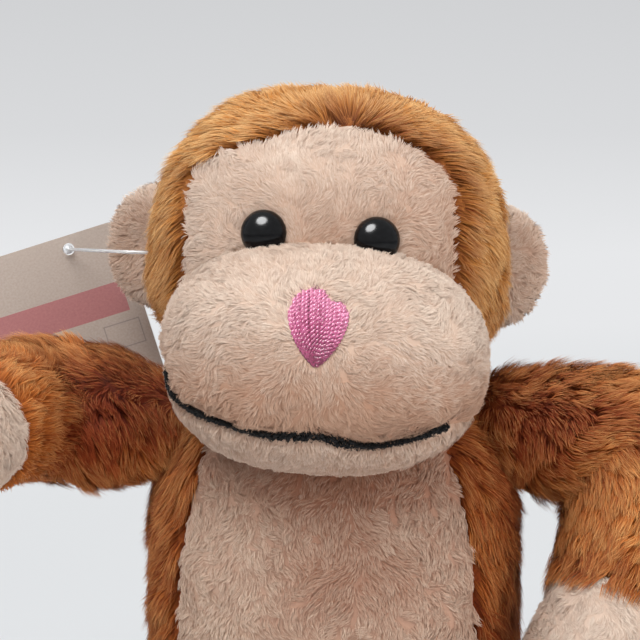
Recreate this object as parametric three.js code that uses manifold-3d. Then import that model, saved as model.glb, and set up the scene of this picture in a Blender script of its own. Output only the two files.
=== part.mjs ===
// A sitting plush monkey doll: sewn pile panels over stuffing, in millimetres, +Z up, facing -Y.
// +X is the doll's own left. The origin is on the flat under its seat, in the middle of the torso.
import * as THREE from "three";
import { mergeVertices } from "three/addons/utils/BufferGeometryUtils.js";
import Module from "manifold-3d";

// Cloth and sewing
const clothWall = 3; // backing with the pressed root of its pile
const seamGap = 0.3; // between two sewn edges, and between cloth and stuffing
const jointGap = 0.4; // round a limb's root in its seat
const seatFlare = 3.5; // how deep in a limb's seat its edge starts to open out
const seatFlareShare = 1.1; // how far a seat's edge opens out for each unit outwards
const floorCut = 0.5; // how deep the rounded forms are cut flat where they stand
const overrun = 30; // how far a cutting solid runs past what it cuts
const weldGap = 1e-4; // points of one solid nearer than this are one point
const slopeShare = 0.01; // of an egg's front, the step over which its slope is taken

// Torso
const torsoHalfWidth = 42.6;
const torsoFront = 31;
const torsoBack = 31;
const torsoWaistHeight = 50; // where the torso is widest
const torsoTopHeight = 109;
const torsoPlanRound = 2.4;
const torsoSideRound = 4.2;
const bellyHalfWidths = [19, 30, 33.5, 32.5, 27, 20]; // from the seat up to the neck
const bellyHeights = [7, 24, 50, 74, 97, 112];
const bellySetBack = 10; // how far behind the front the belly panel's edge ends on the shoulders
const seatHalfWidth = 24;
const seatHalfDepth = 18;

// Neck
const frontShift = -1.9; // the neck, the head and the belly panel sit a little to the doll's right
const neckBall = 12;
const neckStand = 2.5; // from the top of the torso up to the neck's pivot
const neckHeight = torsoTopHeight + neckStand;
const neckRise = 2.5; // from the neck's pivot up to the underside of the head
const throatFront = 33; // from the neck forward to the back of the chin
const throatHalfWidth = 47;
const throatBack = 44;
const throatDrop = 34;
const throatPlanRound = 3;
const throatSideRound = 4;

// Head, in its own frame at the neck's pivot
const headRoll = 3.5; // degrees, the doll's left side lower
const headShift = -1.3;
const headHalfWidth = 41;
const headCentreRise = 24.5;
const headUp = 42.6;
const headFront = 36;
const headBack = 37;
const headPlanRound = 2.3;
const headSideRound = 2.5;
const faceShift = -3.6; // the whole face sits a little to the doll's right
const faceHalfWidth = 30.8;
const faceTopRise = 60.1;
const faceLowRise = 22;
const faceSpanShares = [-1, -1, -0.97, -0.8, -0.45, -0.15, 0.07, 0.28, 0.61, 0.83, 0.94, 1, 1];
const faceRiseShares = [0, 0.45, 0.7, 0.79, 0.89, 0.97, 1, 0.99, 0.91, 0.83, 0.72, 0.35, 0];

// Muzzle, in the head's frame
const muzzleHalfWidth = 36;
const muzzleHalfHeight = 25;
const muzzleRise = 7.7;
const muzzleSetForward = 30;
const muzzleFront = 28.5;
const muzzleBack = 16;
const muzzlePlanRound = 2.5;
const muzzleSideRound = 2.3;
const mouthSpanShares = [
  -1.2, -0.92, -0.875, -0.8, -0.71, -0.57, -0.44, -0.26, 0, 0.14, 0.32, 0.53, 0.7, 0.85, 1.2,
];
const mouthRiseShares = [
  0, -0.12, -0.32, -0.42, -0.47, -0.53, -0.575, -0.6, -0.57, -0.62, -0.64, -0.575, -0.485, -0.42, -0.3,
];
const mouthThread = 0.8; // half the thread's width

// Nose
const noseShift = 0.6; // from the face's middle to the doll's left
const noseHalfWidth = 6.4;
const noseCheekShare = 1.3; // how far the stitching's upper corners bulge
const noseHeight = 15.4;
const noseTopRise = 16.3;
const noseThick = 1.3;

// Eyes
const eyeSpread = 12.6; // from the face's middle to an eye
const eyeRise = 35;
const eyeRadius = 5.2;
const eyeDome = 3.9;
const eyePost = 1.7;
const eyePostLength = 9;
const eyeRim = 0.6;
const washerRadius = 4.4;
const washerThick = 1.2;
const washerSeat = 1.2; // deeper than the cloth, in a dimple of the stuffing
const postClearance = 0.3;

// Ears, in the head's frame
const earReach = 10.6; // past the side of the head
const earRoot = 5; // inside the side of the head, cut away there
const earHalfHeight = 14.4;
const earHalfThick = 3.4;
const earPlanRound = 2;
const earSideRound = 2.3;
const earRise = 28.7;
const earSetBack = 4;
const earSwing = 15; // degrees each way that the ear folds, clear of the head

// Arms, from the shoulder to the fingertips
const shoulderSpread = 43;
const shoulderHeight = 100.4;
const shoulderSetForward = 4;
const shoulderBall = 11.2;
const upperArmRadius = 14.6;
const elbowRadius = 14.4;
const wristRadius = 12.6;
const palmRadius = 13.4;
const fingerRound = 9;
const elbowCuff = 8; // from the elbow back to the end of the upper sleeve
const upperArmLength = 27;
const forearmLength = 35;
const handLength = 19;

// Legs, from the hip to the toes
const hipSpread = 25;
const hipSetForward = 26;
const hipBall = 12.5;
const legRadius = 13.6;
const ankleRadius = 12.8;
const footRadius = 15.6;
const toeRound = 9;
const legLength = 40;
const footLength = 14;
const legSplay = 12; // degrees outwards

// Tail
const tailRadius = 5.6;
const tailHeight = 11;
const tailSeat = 30; // behind the middle of the torso
const tailStep = 17; // between the points that the tail runs through

// Hang tag
const tagWidth = 50;
const tagHeight = 44;
const tagThick = 0.6;
const tagTilt = 17.5; // degrees, its outer end lower
const tagHoleInset = 13.6;
const tagHoleDrop = 3.4;
const tagHoleRadius = 1.5;
const tagSetBack = 22;
const tagCorner = 54.3; // from the middle of the doll to the card's upper inner corner
const tagCornerHeight = 148.2;
const pinThread = 0.5;
const pinKnob = 1.2;
const pinSetForward = 8;
const pinRise = 27.6; // where it goes into the side of the head, in the head's frame

// Colours of the cloth, thread and plastic
const brownPile = 0x96602f;
const pinkPile = 0xe3c3b0;
const fillWhite = 0xf2f0ea;
const noseThreadPink = 0xcf68a8;
const mouthBlack = 0x23262a;
const eyeBlack = 0x0c0c0d;
const cardGrey = 0xe6e2dd;
const nylonClear = 0xeeeeee;
const washerGrey = 0xd8d8d2;

const wasm = await Module();
wasm.setup();
const radians = THREE.MathUtils.degToRad;
const vec = (x, y, z) => new THREE.Vector3(x, y, z);

// Solids

function solid(geometry) {
  const bare = geometry.clone();
  bare.deleteAttribute("normal");
  bare.deleteAttribute("uv");
  const merged = mergeVertices(bare, weldGap);
  return new wasm.Manifold(
    new wasm.Mesh({
      numProp: 3,
      vertProperties: new Float32Array(merged.attributes.position.array),
      triVerts: new Uint32Array(merged.index.array),
    }),
  );
}

function geometryOf(made) {
  const mesh = made.getMesh();
  const geometry = new THREE.BufferGeometry();
  geometry.setAttribute("position", new THREE.BufferAttribute(mesh.vertProperties.slice(), 3));
  geometry.setIndex(new THREE.BufferAttribute(mesh.triVerts.slice(), 1));
  const facets = geometry.toNonIndexed();
  facets.computeVertexNormals();
  return facets;
}

const joined = (...solids) => solids.reduce((whole, next) => whole.add(next));
const minus = (from, ...solids) => solids.reduce((rest, next) => rest.subtract(next), from);

// A closed skin through rings of points, with a fan to a pole at each end.
function loft(firstPole, rings, lastPole) {
  const sides = rings[0].length;
  const points = [firstPole, ...rings.flat(), lastPole];
  const faces = [];
  const last = points.length - 1;
  for (let k = 0; k < sides; k++) {
    const next = (k + 1) % sides;
    faces.push(0, 1 + next, 1 + k);
    for (let ring = 0; ring < rings.length - 1; ring++) {
      const a = 1 + ring * sides;
      const b = a + sides;
      faces.push(a + k, a + next, b + k, a + next, b + next, b + k);
    }
    const end = last - sides;
    faces.push(last, end + k, end + next);
  }
  const geometry = new THREE.BufferGeometry();
  geometry.setFromPoints(points);
  geometry.setIndex(faces);
  return geometry;
}

// An egg with six reaches from its centre, and its squareness in plan and in profile.
function eggReach(egg, grow) {
  const wide = egg.halfWidth + grow;
  return (p) => vec(
    p.x * wide,
    p.y * ((p.y < 0 ? egg.front : egg.back) + grow),
    p.z * ((p.z < 0 ? egg.down : egg.up) + grow),
  );
}

function eggSolid(egg, grow, around, high) {
  const geometry = new THREE.SphereGeometry(1, around, high).rotateX(Math.PI / 2);
  const reach = eggReach(egg, grow);
  const places = geometry.attributes.position;
  const point = vec(0, 0, 0);
  for (let k = 0; k < places.count; k++) {
    point.fromBufferAttribute(places, k);
    const plan = Math.abs(point.x) ** egg.planRound + Math.abs(point.y) ** egg.planRound;
    const size = plan ** (egg.sideRound / egg.planRound) + Math.abs(point.z) ** egg.sideRound;
    const out = reach(point.divideScalar(size ** (1 / egg.sideRound)));
    places.setXYZ(k, out.x, out.y, out.z);
  }
  return solid(geometry.translate(egg.at.x, egg.at.y, egg.at.z));
}

// The point on the front of an egg at x and z, and the way that the skin faces there.
function eggFront(egg, x, z, grow) {
  const at = (px, pz) => {
    const across = Math.abs((px - egg.at.x) / (egg.halfWidth + grow)) ** egg.planRound;
    const rise = pz - egg.at.z;
    const high = Math.abs(rise / ((rise < 0 ? egg.down : egg.up) + grow)) ** egg.sideRound;
    const left = Math.max(0, 1 - high) ** (egg.planRound / egg.sideRound) - across;
    return egg.at.y - (egg.front + grow) * Math.max(0, left) ** (1 / egg.planRound);
  };
  const step = egg.front * slopeShare;
  const alongX = vec(step + step, at(x + step, z) - at(x - step, z), 0);
  const alongZ = vec(0, at(x, z + step) - at(x, z - step), step + step);
  return { point: vec(x, at(x, z), z), facing: alongX.cross(alongZ).normalize() };
}

// The point on one side of an egg at y and z.
function eggSide(egg, side, y, z, grow) {
  const deep = Math.abs((y - egg.at.y) / ((y < egg.at.y ? egg.front : egg.back) + grow)) ** egg.planRound;
  const rise = z - egg.at.z;
  const high = Math.abs(rise / ((rise < 0 ? egg.down : egg.up) + grow)) ** egg.sideRound;
  const left = Math.max(0, 1 - high) ** (egg.planRound / egg.sideRound) - deep;
  return vec(egg.at.x + side * (egg.halfWidth + grow) * Math.max(0, left) ** (1 / egg.planRound), y, z);
}

// A stuffed tube through points, with a half width at each, from a share of its path on.
// It has a ball at its root and a rounded tip.
function limbSolid(limb, grow, around, steps, from = 0) {
  const path = new THREE.CatmullRomCurve3(limb.points, false, "centripetal");
  const swell = new THREE.CatmullRomCurve3(limb.radii.map((radius) => vec(radius, 0, 0)));
  const ring = (at, along, radius) => {
    const across = limb.up.clone().cross(along).normalize();
    const over = along.clone().cross(across);
    return Array.from({ length: around }, (_, k) => {
      const turn = (2 * Math.PI * k) / around;
      return at.clone()
        .addScaledVector(across, Math.cos(turn) * radius)
        .addScaledVector(over, Math.sin(turn) * radius);
    });
  };
  const capSteps = 4;
  const rings = [];
  const start = path.getTangent(from);
  const root = path.getPoint(from);
  const rootRadius = swell.getPoint(from).x + grow;
  for (let k = 1; k < capSteps; k++) {
    const turn = (Math.PI / 2) * (k / capSteps);
    const back = root.clone().addScaledVector(start, -rootRadius * Math.cos(turn));
    rings.push(ring(back, start, rootRadius * Math.sin(turn)));
  }
  for (let k = 0; k <= steps; k++) {
    const share = from + ((1 - from) * k) / steps;
    rings.push(ring(path.getPoint(share), path.getTangent(share), swell.getPoint(share).x + grow));
  }
  const finish = path.getTangent(1);
  const tip = limb.points.at(-1);
  const tipRadius = limb.radii.at(-1) + grow;
  const tipReach = limb.tipRound + grow;
  for (let k = 1; k < capSteps; k++) {
    const turn = (Math.PI / 2) * (k / capSteps);
    const ahead = tip.clone().addScaledVector(finish, tipReach * Math.sin(turn));
    rings.push(ring(ahead, finish, tipRadius * Math.cos(turn)));
  }
  const firstPole = root.clone().addScaledVector(start, -rootRadius);
  const lastPole = tip.clone().addScaledVector(finish, tipReach);
  return solid(loft(firstPole, rings, lastPole));
}

function ballSolid(at, radius) {
  return solid(new THREE.SphereGeometry(radius, 14, 9).translate(at.x, at.y, at.z));
}

// Everything past a plane through a point, on the side that it faces.
function beyond(at, facing, size) {
  const box = new THREE.BoxGeometry(size, size, size).translate(0, 0, size / 2);
  box.applyQuaternion(new THREE.Quaternion().setFromUnitVectors(vec(0, 0, 1), facing));
  return solid(box.translate(at.x, at.y, at.z));
}

// The space in front of an outline drawn in x and z, from a depth y forwards.
function inFrontOf(outline, y, depth) {
  const prism = new THREE.ExtrudeGeometry(new THREE.Shape(outline), {
    depth,
    bevelEnabled: false,
    curveSegments: 8,
  });
  return solid(prism.rotateX(Math.PI / 2).translate(0, y, 0));
}

// A solid copied at several angles round an axis, joined: the space that it sweeps.
function swept(made, at, axis, angles) {
  const base = geometryOf(made);
  return angles
    .map((angle) => {
      const copy = base.clone().translate(-at.x, -at.y, -at.z);
      copy.applyQuaternion(new THREE.Quaternion().setFromAxisAngle(axis, radians(angle)));
      return solid(copy.translate(at.x, at.y, at.z));
    })
    .reduce((whole, next) => whole.add(next));
}

// Materials and nodes

function finish(color, roughness, metalness = 0) {
  return new THREE.MeshStandardMaterial({ color, roughness, metalness });
}

const brown = () => finish(brownPile, 0.95);
const pink = () => finish(pinkPile, 0.95);
const fill = () => finish(fillWhite, 1);

function node(parent, name, made, material) {
  const mesh = new THREE.Mesh(geometryOf(made), material);
  mesh.name = name;
  parent.add(mesh);
}

const group = new THREE.Group();
const floor = beyond(vec(0, 0, 0), vec(0, 0, -1), 10 * overrun);

// Limbs, laid out from their joints

const rightAngle = Math.PI / 2;

function turned(length, [downShare, forwardShare], side) {
  const down = downShare * rightAngle;
  const forward = forwardShare * rightAngle;
  return vec(
    side * length * Math.cos(down) * Math.cos(forward),
    -length * Math.sin(forward),
    -length * Math.sin(down) * Math.cos(forward),
  );
}

// How far each stretch of an arm points down and forward, in shares of a right angle.
const armBendShares = {
  left: { upper: [0.1, 0.1], fore: [1.1, 0.22], hand: [1.28, 0.27] },
  right: { upper: [-0.11, 0.12], fore: [0.11, 0.8], hand: [0.56, 0.73] },
};

function armForm(name, bend) {
  const side = name === "left" ? 1 : -1;
  const upper = turned(upperArmLength, bend.upper, side);
  const fore = turned(forearmLength, bend.fore, side);
  const shoulder = vec(side * shoulderSpread, -shoulderSetForward, shoulderHeight);
  const elbow = shoulder.clone().add(upper);
  const wrist = elbow.clone().add(fore);
  const palm = wrist.clone().add(turned(handLength, bend.hand, side));
  const biceps = shoulder.clone().lerp(elbow, 1 / 2);
  return {
    points: [shoulder, biceps, elbow, wrist, palm],
    radii: [shoulderBall, upperArmRadius, elbowRadius, wristRadius, palmRadius],
    tipRound: fingerRound,
    up: upper.cross(fore).normalize(),
    elbowShare: 1 / 2,
    wristShare: 3 / 4,
  };
}

function legForm(side) {
  const ahead = (length) => vec(
    side * length * Math.sin(radians(legSplay)),
    -length * Math.cos(radians(legSplay)),
    0,
  );
  const hip = vec(side * hipSpread, -hipSetForward, hipBall);
  const shin = hip.clone().add(ahead(legLength / 2)).setZ(legRadius - floorCut);
  const ankle = hip.clone().add(ahead(legLength)).setZ(ankleRadius);
  const sole = hip.clone().add(ahead(legLength + footLength)).setZ(footRadius - floorCut);
  return {
    points: [hip, shin, ankle, sole],
    radii: [hipBall, legRadius, ankleRadius, footRadius],
    tipRound: toeRound,
    up: vec(0, 0, 1),
    ankleShare: 2 / 3,
  };
}

const tailForm = {
  points: [
    vec(0, tailSeat, tailHeight),
    vec(tailStep / 4, tailSeat + tailStep, tailRadius),
    vec(tailStep + tailStep / 4, tailSeat + tailStep + tailStep / 2, tailRadius),
    vec(2 * tailStep + tailStep / 4, tailSeat + tailStep, tailRadius),
    vec(2 * tailStep + tailStep / 2, tailSeat, tailRadius),
  ],
  radii: [tailRadius, tailRadius, tailRadius, tailRadius, tailRadius],
  tipRound: tailRadius,
  up: vec(0, 0, 1),
};

const arms = Object.entries(armBendShares).map(([name, bend]) => ({ name, form: armForm(name, bend) }));
const legs = [["left", 1], ["right", -1]].map(([name, side]) => ({ name, form: legForm(side) }));

// Torso

const torsoEgg = {
  at: vec(0, 0, torsoWaistHeight),
  halfWidth: torsoHalfWidth,
  front: torsoFront,
  back: torsoBack,
  up: torsoTopHeight - torsoWaistHeight,
  down: torsoWaistHeight + floorCut,
  planRound: torsoPlanRound,
  sideRound: torsoSideRound,
};

// The belly panel's outline with its edge moved out by a gap.
function bellyOutline(gap) {
  const edge = (side) => {
    const points = bellyHalfWidths.map((half, k) => {
      return new THREE.Vector2(frontShift + side * (half + gap), bellyHeights[k]);
    });
    points[0].y -= gap;
    return new THREE.SplineCurve(points).getPoints(12);
  };
  return [...edge(1), ...edge(-1).reverse()];
}

function seatPrism(gap) {
  const oval = new THREE.Shape().absellipse(0, 0, seatHalfWidth + gap, seatHalfDepth + gap, 0, 2 * Math.PI);
  const prism = new THREE.ExtrudeGeometry(oval, { depth: overrun, bevelEnabled: false, curveSegments: 20 });
  return solid(prism.translate(0, 0, 2 * clothWall - overrun));
}

// A limb's seat: a round hollow that opens out at its edge, so that the limb can swing.
function seatSolid(form, grow) {
  const radius = form.radii[0] + jointGap + grow;
  const facing = form.points[1].clone().sub(form.points[0]).normalize();
  const arcSteps = 5;
  const edge = Math.acos((seatFlare + grow) / radius);
  const profile = Array.from({ length: arcSteps + 1 }, (_, k) => {
    const turn = (edge * k) / arcSteps;
    return [radius * Math.sin(turn), -radius * Math.cos(turn)];
  });
  const [edgeRadius, edgeHeight] = profile.at(-1);
  profile.push([edgeRadius + (overrun - edgeHeight) * seatFlareShare, overrun], [0, overrun]);
  return solid(laidOn(lathe(profile, 14), { point: form.points[0], facing }));
}

function buildTorso() {
  const neck = ballSolid(vec(frontShift, 0, neckHeight), neckBall + jointGap);
  const forms = [...arms.map(({ form }) => form), ...legs.map(({ form }) => form), tailForm];
  const seats = joined(neck, ...forms.map((form) => seatSolid(form, 0)));
  const outer = minus(eggSolid(torsoEgg, 0, 22, 14), seats, floor);
  const inner = eggSolid(torsoEgg, -clothWall, 16, 10);
  const shell = minus(outer, inner);
  const bellyEdge = -(torsoFront - bellySetBack - clothWall);
  const belly = inFrontOf(bellyOutline(0), bellyEdge, 3 * overrun);
  const bellyGap = inFrontOf(bellyOutline(seamGap), bellyEdge + seamGap, 3 * overrun);
  const seat = seatPrism(0);
  const seatGap = seatPrism(seamGap);
  const sides = minus(shell, bellyGap, seatGap);
  const seamAt = (side) => vec((side * seamGap) / 2, 0, 0);
  const half = (side) => sides.intersect(beyond(seamAt(side), vec(side, 0, 0), 10 * overrun));
  node(group, "belly_panel", minus(shell.intersect(belly), seatGap), pink());
  node(group, "back_panel_left", half(1), brown());
  node(group, "back_panel_right", half(-1), brown());
  node(group, "seat_panel", shell.intersect(seat), brown());
  const core = eggSolid(torsoEgg, -clothWall - seamGap, 16, 10);
  node(group, "torso_stuffing", minus(core, neck, ...forms.map((form) => seatSolid(form, seamGap))), fill());
}

// Arms and legs

function buildArm({ name, form }) {
  const elbow = form.points[2];
  const wrist = form.points[3];
  const path = new THREE.CatmullRomCurve3(form.points, false, "centripetal");
  const alongElbow = path.getTangent(form.elbowShare);
  const alongWrist = path.getTangent(form.wristShare);
  const cuff = elbow.clone().addScaledVector(alongElbow, -elbowCuff);
  const beforeCuff = beyond(cuff, alongElbow.clone().negate(), 4 * overrun);
  const cup = ballSolid(elbow, elbowRadius + 2 * jointGap);
  const upper = limbSolid(form, 0, 12, 8).intersect(beforeCuff);
  const core = limbSolid(form, -clothWall - seamGap, 10, 8).intersect(beforeCuff);
  node(group, "upper_arm_sleeve_" + name, minus(upper, limbSolid(form, -clothWall, 10, 8), cup), brown());
  node(group, "upper_arm_stuffing_" + name, minus(core, cup), fill());

  const fromElbow = (grow, around) => limbSolid(form, grow, around, 5, form.elbowShare);
  const shell = minus(fromElbow(0, 12), fromElbow(-clothWall, 10));
  const hand = beyond(wrist, alongWrist, 4 * overrun);
  const edge = wrist.clone().addScaledVector(alongWrist, -seamGap);
  const sleeve = beyond(edge, alongWrist.clone().negate(), 4 * overrun);
  node(group, "forearm_sleeve_" + name, shell.intersect(sleeve), brown());
  node(group, "hand_" + name, shell.intersect(hand), pink());
  node(group, "forearm_stuffing_" + name, fromElbow(-clothWall - seamGap, 10), fill());
}

function buildLeg({ name, form }) {
  const ankle = form.points[2];
  const path = new THREE.CatmullRomCurve3(form.points, false, "centripetal");
  const along = path.getTangent(form.ankleShare);
  const whole = minus(limbSolid(form, 0, 12, 6), floor);
  const shell = minus(whole, limbSolid(form, -clothWall, 10, 6));
  const edge = ankle.clone().addScaledVector(along, -seamGap);
  const beforeAnkle = beyond(edge, along.clone().negate(), 4 * overrun);
  node(group, "leg_sleeve_" + name, shell.intersect(beforeAnkle), brown());
  node(group, "foot_" + name, shell.intersect(beyond(ankle, along, 4 * overrun)), pink());
  node(group, "leg_stuffing_" + name, limbSolid(form, -clothWall - seamGap, 10, 6), fill());
}

// Head

const headFrame = new THREE.Matrix4()
  .makeTranslation(frontShift, 0, neckHeight)
  .multiply(new THREE.Matrix4().makeRotationY(radians(headRoll)));
const headEgg = {
  at: vec(headShift, 0, headCentreRise),
  halfWidth: headHalfWidth,
  front: headFront,
  back: headBack,
  up: headUp,
  down: headCentreRise - neckRise,
  planRound: headPlanRound,
  sideRound: headSideRound,
};
const muzzleEgg = {
  at: vec(headShift, -muzzleSetForward, muzzleRise),
  halfWidth: muzzleHalfWidth,
  front: muzzleFront,
  back: muzzleBack,
  up: muzzleHalfHeight,
  down: muzzleHalfHeight,
  planRound: muzzlePlanRound,
  sideRound: muzzleSideRound,
};

// The room under the head for the neck, the chest and the shoulders.
const throatEgg = {
  at: vec(0, 0, 0),
  halfWidth: throatHalfWidth,
  front: throatFront,
  back: throatBack,
  up: neckRise,
  down: throatDrop,
  planRound: throatPlanRound,
  sideRound: throatSideRound,
};

// The face panel's outline, which runs down behind the muzzle, with its edge moved out by a gap.
function faceOutline(gap) {
  const points = faceSpanShares.map((share, k) => {
    const across = share * (faceHalfWidth + gap);
    const high = faceRiseShares[k] * (faceTopRise + gap - faceLowRise);
    return new THREE.Vector2(faceShift + across, faceLowRise + high);
  });
  return new THREE.SplineCurve(points.reverse()).getPoints(28);
}

function mouthPoint(k) {
  return new THREE.Vector2(
    muzzleEgg.at.x + mouthSpanShares[k] * muzzleHalfWidth,
    muzzleEgg.at.z + mouthRiseShares[k] * muzzleHalfHeight,
  );
}

// The space under the mouth line, its upper edge lowered by a gap.
function underMouth(gap) {
  const line = mouthSpanShares.map((_, k) => mouthPoint(k).sub(new THREE.Vector2(0, gap)));
  const low = muzzleEgg.at.z - 2 * overrun;
  const outline = [
    new THREE.Vector2(line[0].x, low),
    new THREE.Vector2(line.at(-1).x, low),
    ...line.reverse(),
  ];
  return inFrontOf(outline, overrun, 5 * overrun);
}

function mouthSolid() {
  const inner = mouthSpanShares.map((_, k) => mouthPoint(k)).slice(1, -1);
  const points = new THREE.SplineCurve(inner).getPoints(22).map((p) => {
    const at = eggFront(muzzleEgg, p.x, p.y, 0);
    return at.point.addScaledVector(at.facing, mouthThread + seamGap);
  });
  const section = new THREE.Shape().absarc(0, 0, mouthThread, 0, 2 * Math.PI);
  const thread = new THREE.ExtrudeGeometry(section, {
    extrudePath: new THREE.CatmullRomCurve3(points, false, "centripetal"),
    steps: 28,
    curveSegments: 3,
    bevelEnabled: false,
  });
  return solid(thread);
}

function noseSolid() {
  const middle = faceShift + noseShift;
  const top = noseTopRise + muzzleEgg.at.z;
  const low = top - noseHeight;
  const side = noseHalfWidth;
  const lobe = noseHalfWidth / 2;
  const cheek = noseHalfWidth * noseCheekShare;
  const lift = noseHeight / 4;
  const shape = new THREE.Shape();
  shape.moveTo(middle, low);
  shape.bezierCurveTo(middle + side, low + lift, middle + cheek, top, middle + lobe, top);
  shape.lineTo(middle, top - lift / 4);
  shape.lineTo(middle - lobe, top);
  shape.bezierCurveTo(middle - cheek, top, middle - side, low + lift, middle, low);
  const prism = inFrontOf(shape.getPoints(8), -muzzleSetForward, 2 * overrun);
  const sheet = minus(eggSolid(muzzleEgg, seamGap + noseThick, 20, 12), eggSolid(muzzleEgg, seamGap, 20, 12));
  return prism.intersect(sheet);
}

function eyePlace(side) {
  return eggFront(headEgg, faceShift + side * eyeSpread, eyeRise, 0);
}

function laidOn(geometry, place) {
  geometry.applyQuaternion(new THREE.Quaternion().setFromUnitVectors(vec(0, 0, 1), place.facing));
  return geometry.translate(place.point.x, place.point.y, place.point.z);
}

function lathe(profile, sides) {
  const points = profile.map(([radius, height]) => new THREE.Vector2(radius, height));
  return new THREE.LatheGeometry(points, sides).rotateX(Math.PI / 2);
}

// Profiles run along the axis that points out of the face; zero is the cloth's face.
function eyeSolid(place) {
  const domeSteps = 6;
  const dome = Array.from({ length: domeSteps }, (_, k) => {
    const turn = ((k + 1) / domeSteps) * (Math.PI / 2);
    return [eyeRadius * Math.sin(turn), seamGap + eyeRim + eyeDome * Math.cos(turn)];
  });
  const profile = [
    [0, seamGap + eyeRim + eyeDome],
    ...dome,
    [eyeRadius, seamGap],
    [eyePost, seamGap],
    [eyePost, seamGap - eyePostLength],
    [0, seamGap - eyePostLength],
  ];
  return solid(laidOn(lathe(profile.reverse(), 20), place));
}

function washerSolid(place) {
  const top = -clothWall - washerSeat;
  const profile = [
    [eyePost + postClearance, top - washerThick],
    [washerRadius, top - washerThick],
    [washerRadius, top],
    [eyePost + postClearance, top],
    [eyePost + postClearance, top - washerThick],
  ];
  return solid(laidOn(lathe(profile, 20), place));
}

// The space that an eye's post and washer take out of the cloth and the stuffing.
function eyeBore(place, radius, depth) {
  const profile = [[0, -depth], [radius, -depth], [radius, overrun], [0, overrun]];
  return solid(laidOn(lathe(profile, 16), place));
}

function earParts(side) {
  const rootX = headEgg.at.x + side * (headHalfWidth - earRoot);
  const ear = {
    at: vec(rootX, earSetBack, earRise),
    halfWidth: earReach + earRoot,
    front: earHalfThick,
    back: earHalfThick,
    up: earHalfHeight,
    down: earHalfHeight,
    planRound: earPlanRound,
    sideRound: earSideRound,
  };
  const hinge = vec(headEgg.at.x + side * headHalfWidth, earSetBack, earRise);
  const head = eggSolid(headEgg, seamGap, 22, 14);
  const room = swept(head, hinge, vec(0, 0, 1), [-earSwing, -earSwing / 2, 0, earSwing / 2, earSwing]);
  const inward = beyond(hinge, vec(-side, 0, 0), 4 * overrun);
  const flap = minus(eggSolid(ear, 0, 18, 12), room, inward);
  const middle = vec(0, earSetBack, 0);
  const frontHalf = beyond(middle.clone().setY(earSetBack - seamGap / 2), vec(0, -1, 0), 8 * overrun);
  const backHalf = beyond(middle.clone().setY(earSetBack + seamGap / 2), vec(0, 1, 0), 8 * overrun);
  return { front: flap.intersect(frontHalf), back: flap.intersect(backHalf) };
}

function buildHead() {
  const head = new THREE.Group();
  head.applyMatrix4(headFrame);
  group.add(head);

  const socket = ballSolid(vec(0, 0, 0), neckBall + jointGap);
  const places = [eyePlace(1), eyePlace(-1)];
  const throat = eggSolid(throatEgg, 0, 18, 12);
  const skull = minus(eggSolid(headEgg, 0, 22, 14), throat);
  const hollow = minus(eggSolid(headEgg, -clothWall, 16, 10), eggSolid(throatEgg, clothWall, 18, 12));
  const muzzle = minus(eggSolid(muzzleEgg, 0, 20, 12), throat);
  const muzzleHollow = minus(eggSolid(muzzleEgg, -clothWall, 16, 10), eggSolid(throatEgg, clothWall, 18, 12));
  const muzzleRoom = eggSolid(muzzleEgg, seamGap, 20, 12);
  const posts = places.map((place) => eyeBore(place, eyePost + postClearance, 2 * clothWall));
  const shell = minus(skull, hollow, muzzleRoom, socket, ...posts);
  const depth = 3 * overrun;
  const face = inFrontOf(faceOutline(0), 0, depth);
  const faceGap = inFrontOf(faceOutline(seamGap), seamGap, depth);
  const crown = minus(shell, faceGap);
  const seamAt = (side) => vec(headEgg.at.x + (side * seamGap) / 2, 0, 0);
  const half = (side) => crown.intersect(beyond(seamAt(side), vec(side, 0, 0), 8 * overrun));
  node(head, "head_panel_left", half(1), brown());
  node(head, "head_panel_right", half(-1), brown());
  node(head, "face_panel", shell.intersect(face), pink());

  const eyeRoom = places.map((place) => eyeBore(place, eyeRadius + seamGap, 0));
  const muzzleShell = minus(muzzle, muzzleHollow, eggSolid(headEgg, seamGap, 22, 14), socket, ...eyeRoom);
  node(head, "muzzle_upper", minus(muzzleShell, underMouth(0)), pink());
  node(head, "muzzle_lower", muzzleShell.intersect(underMouth(seamGap)), pink());
  node(head, "mouth_stitch", mouthSolid(), finish(mouthBlack, 0.8));
  node(head, "nose_stitch", noseSolid(), finish(noseThreadPink, 0.5));

  const washerRoom = places.map((place) => {
    return eyeBore(place, washerRadius + postClearance, eyePostLength + postClearance);
  });
  const core = joined(
    eggSolid(headEgg, -clothWall - seamGap, 16, 10),
    eggSolid(muzzleEgg, -clothWall - seamGap, 16, 10),
  );
  const coreThroat = eggSolid(throatEgg, clothWall + seamGap, 18, 12);
  node(head, "head_stuffing", minus(core, coreThroat, socket, ...washerRoom), fill());
  [["left", 0, 1], ["right", 1, -1]].forEach(([name, k, side]) => {
    node(head, "eye_" + name, eyeSolid(places[k]), finish(eyeBlack, 0.1));
    node(head, "eye_washer_" + name, washerSolid(places[k]), finish(washerGrey, 0.5));
    const ear = earParts(side);
    node(head, "ear_front_" + name, ear.front, pink());
    node(head, "ear_back_" + name, ear.back, pink());
  });
}

// Hang tag on its moulded nylon pin, beside the doll's right ear

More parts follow.
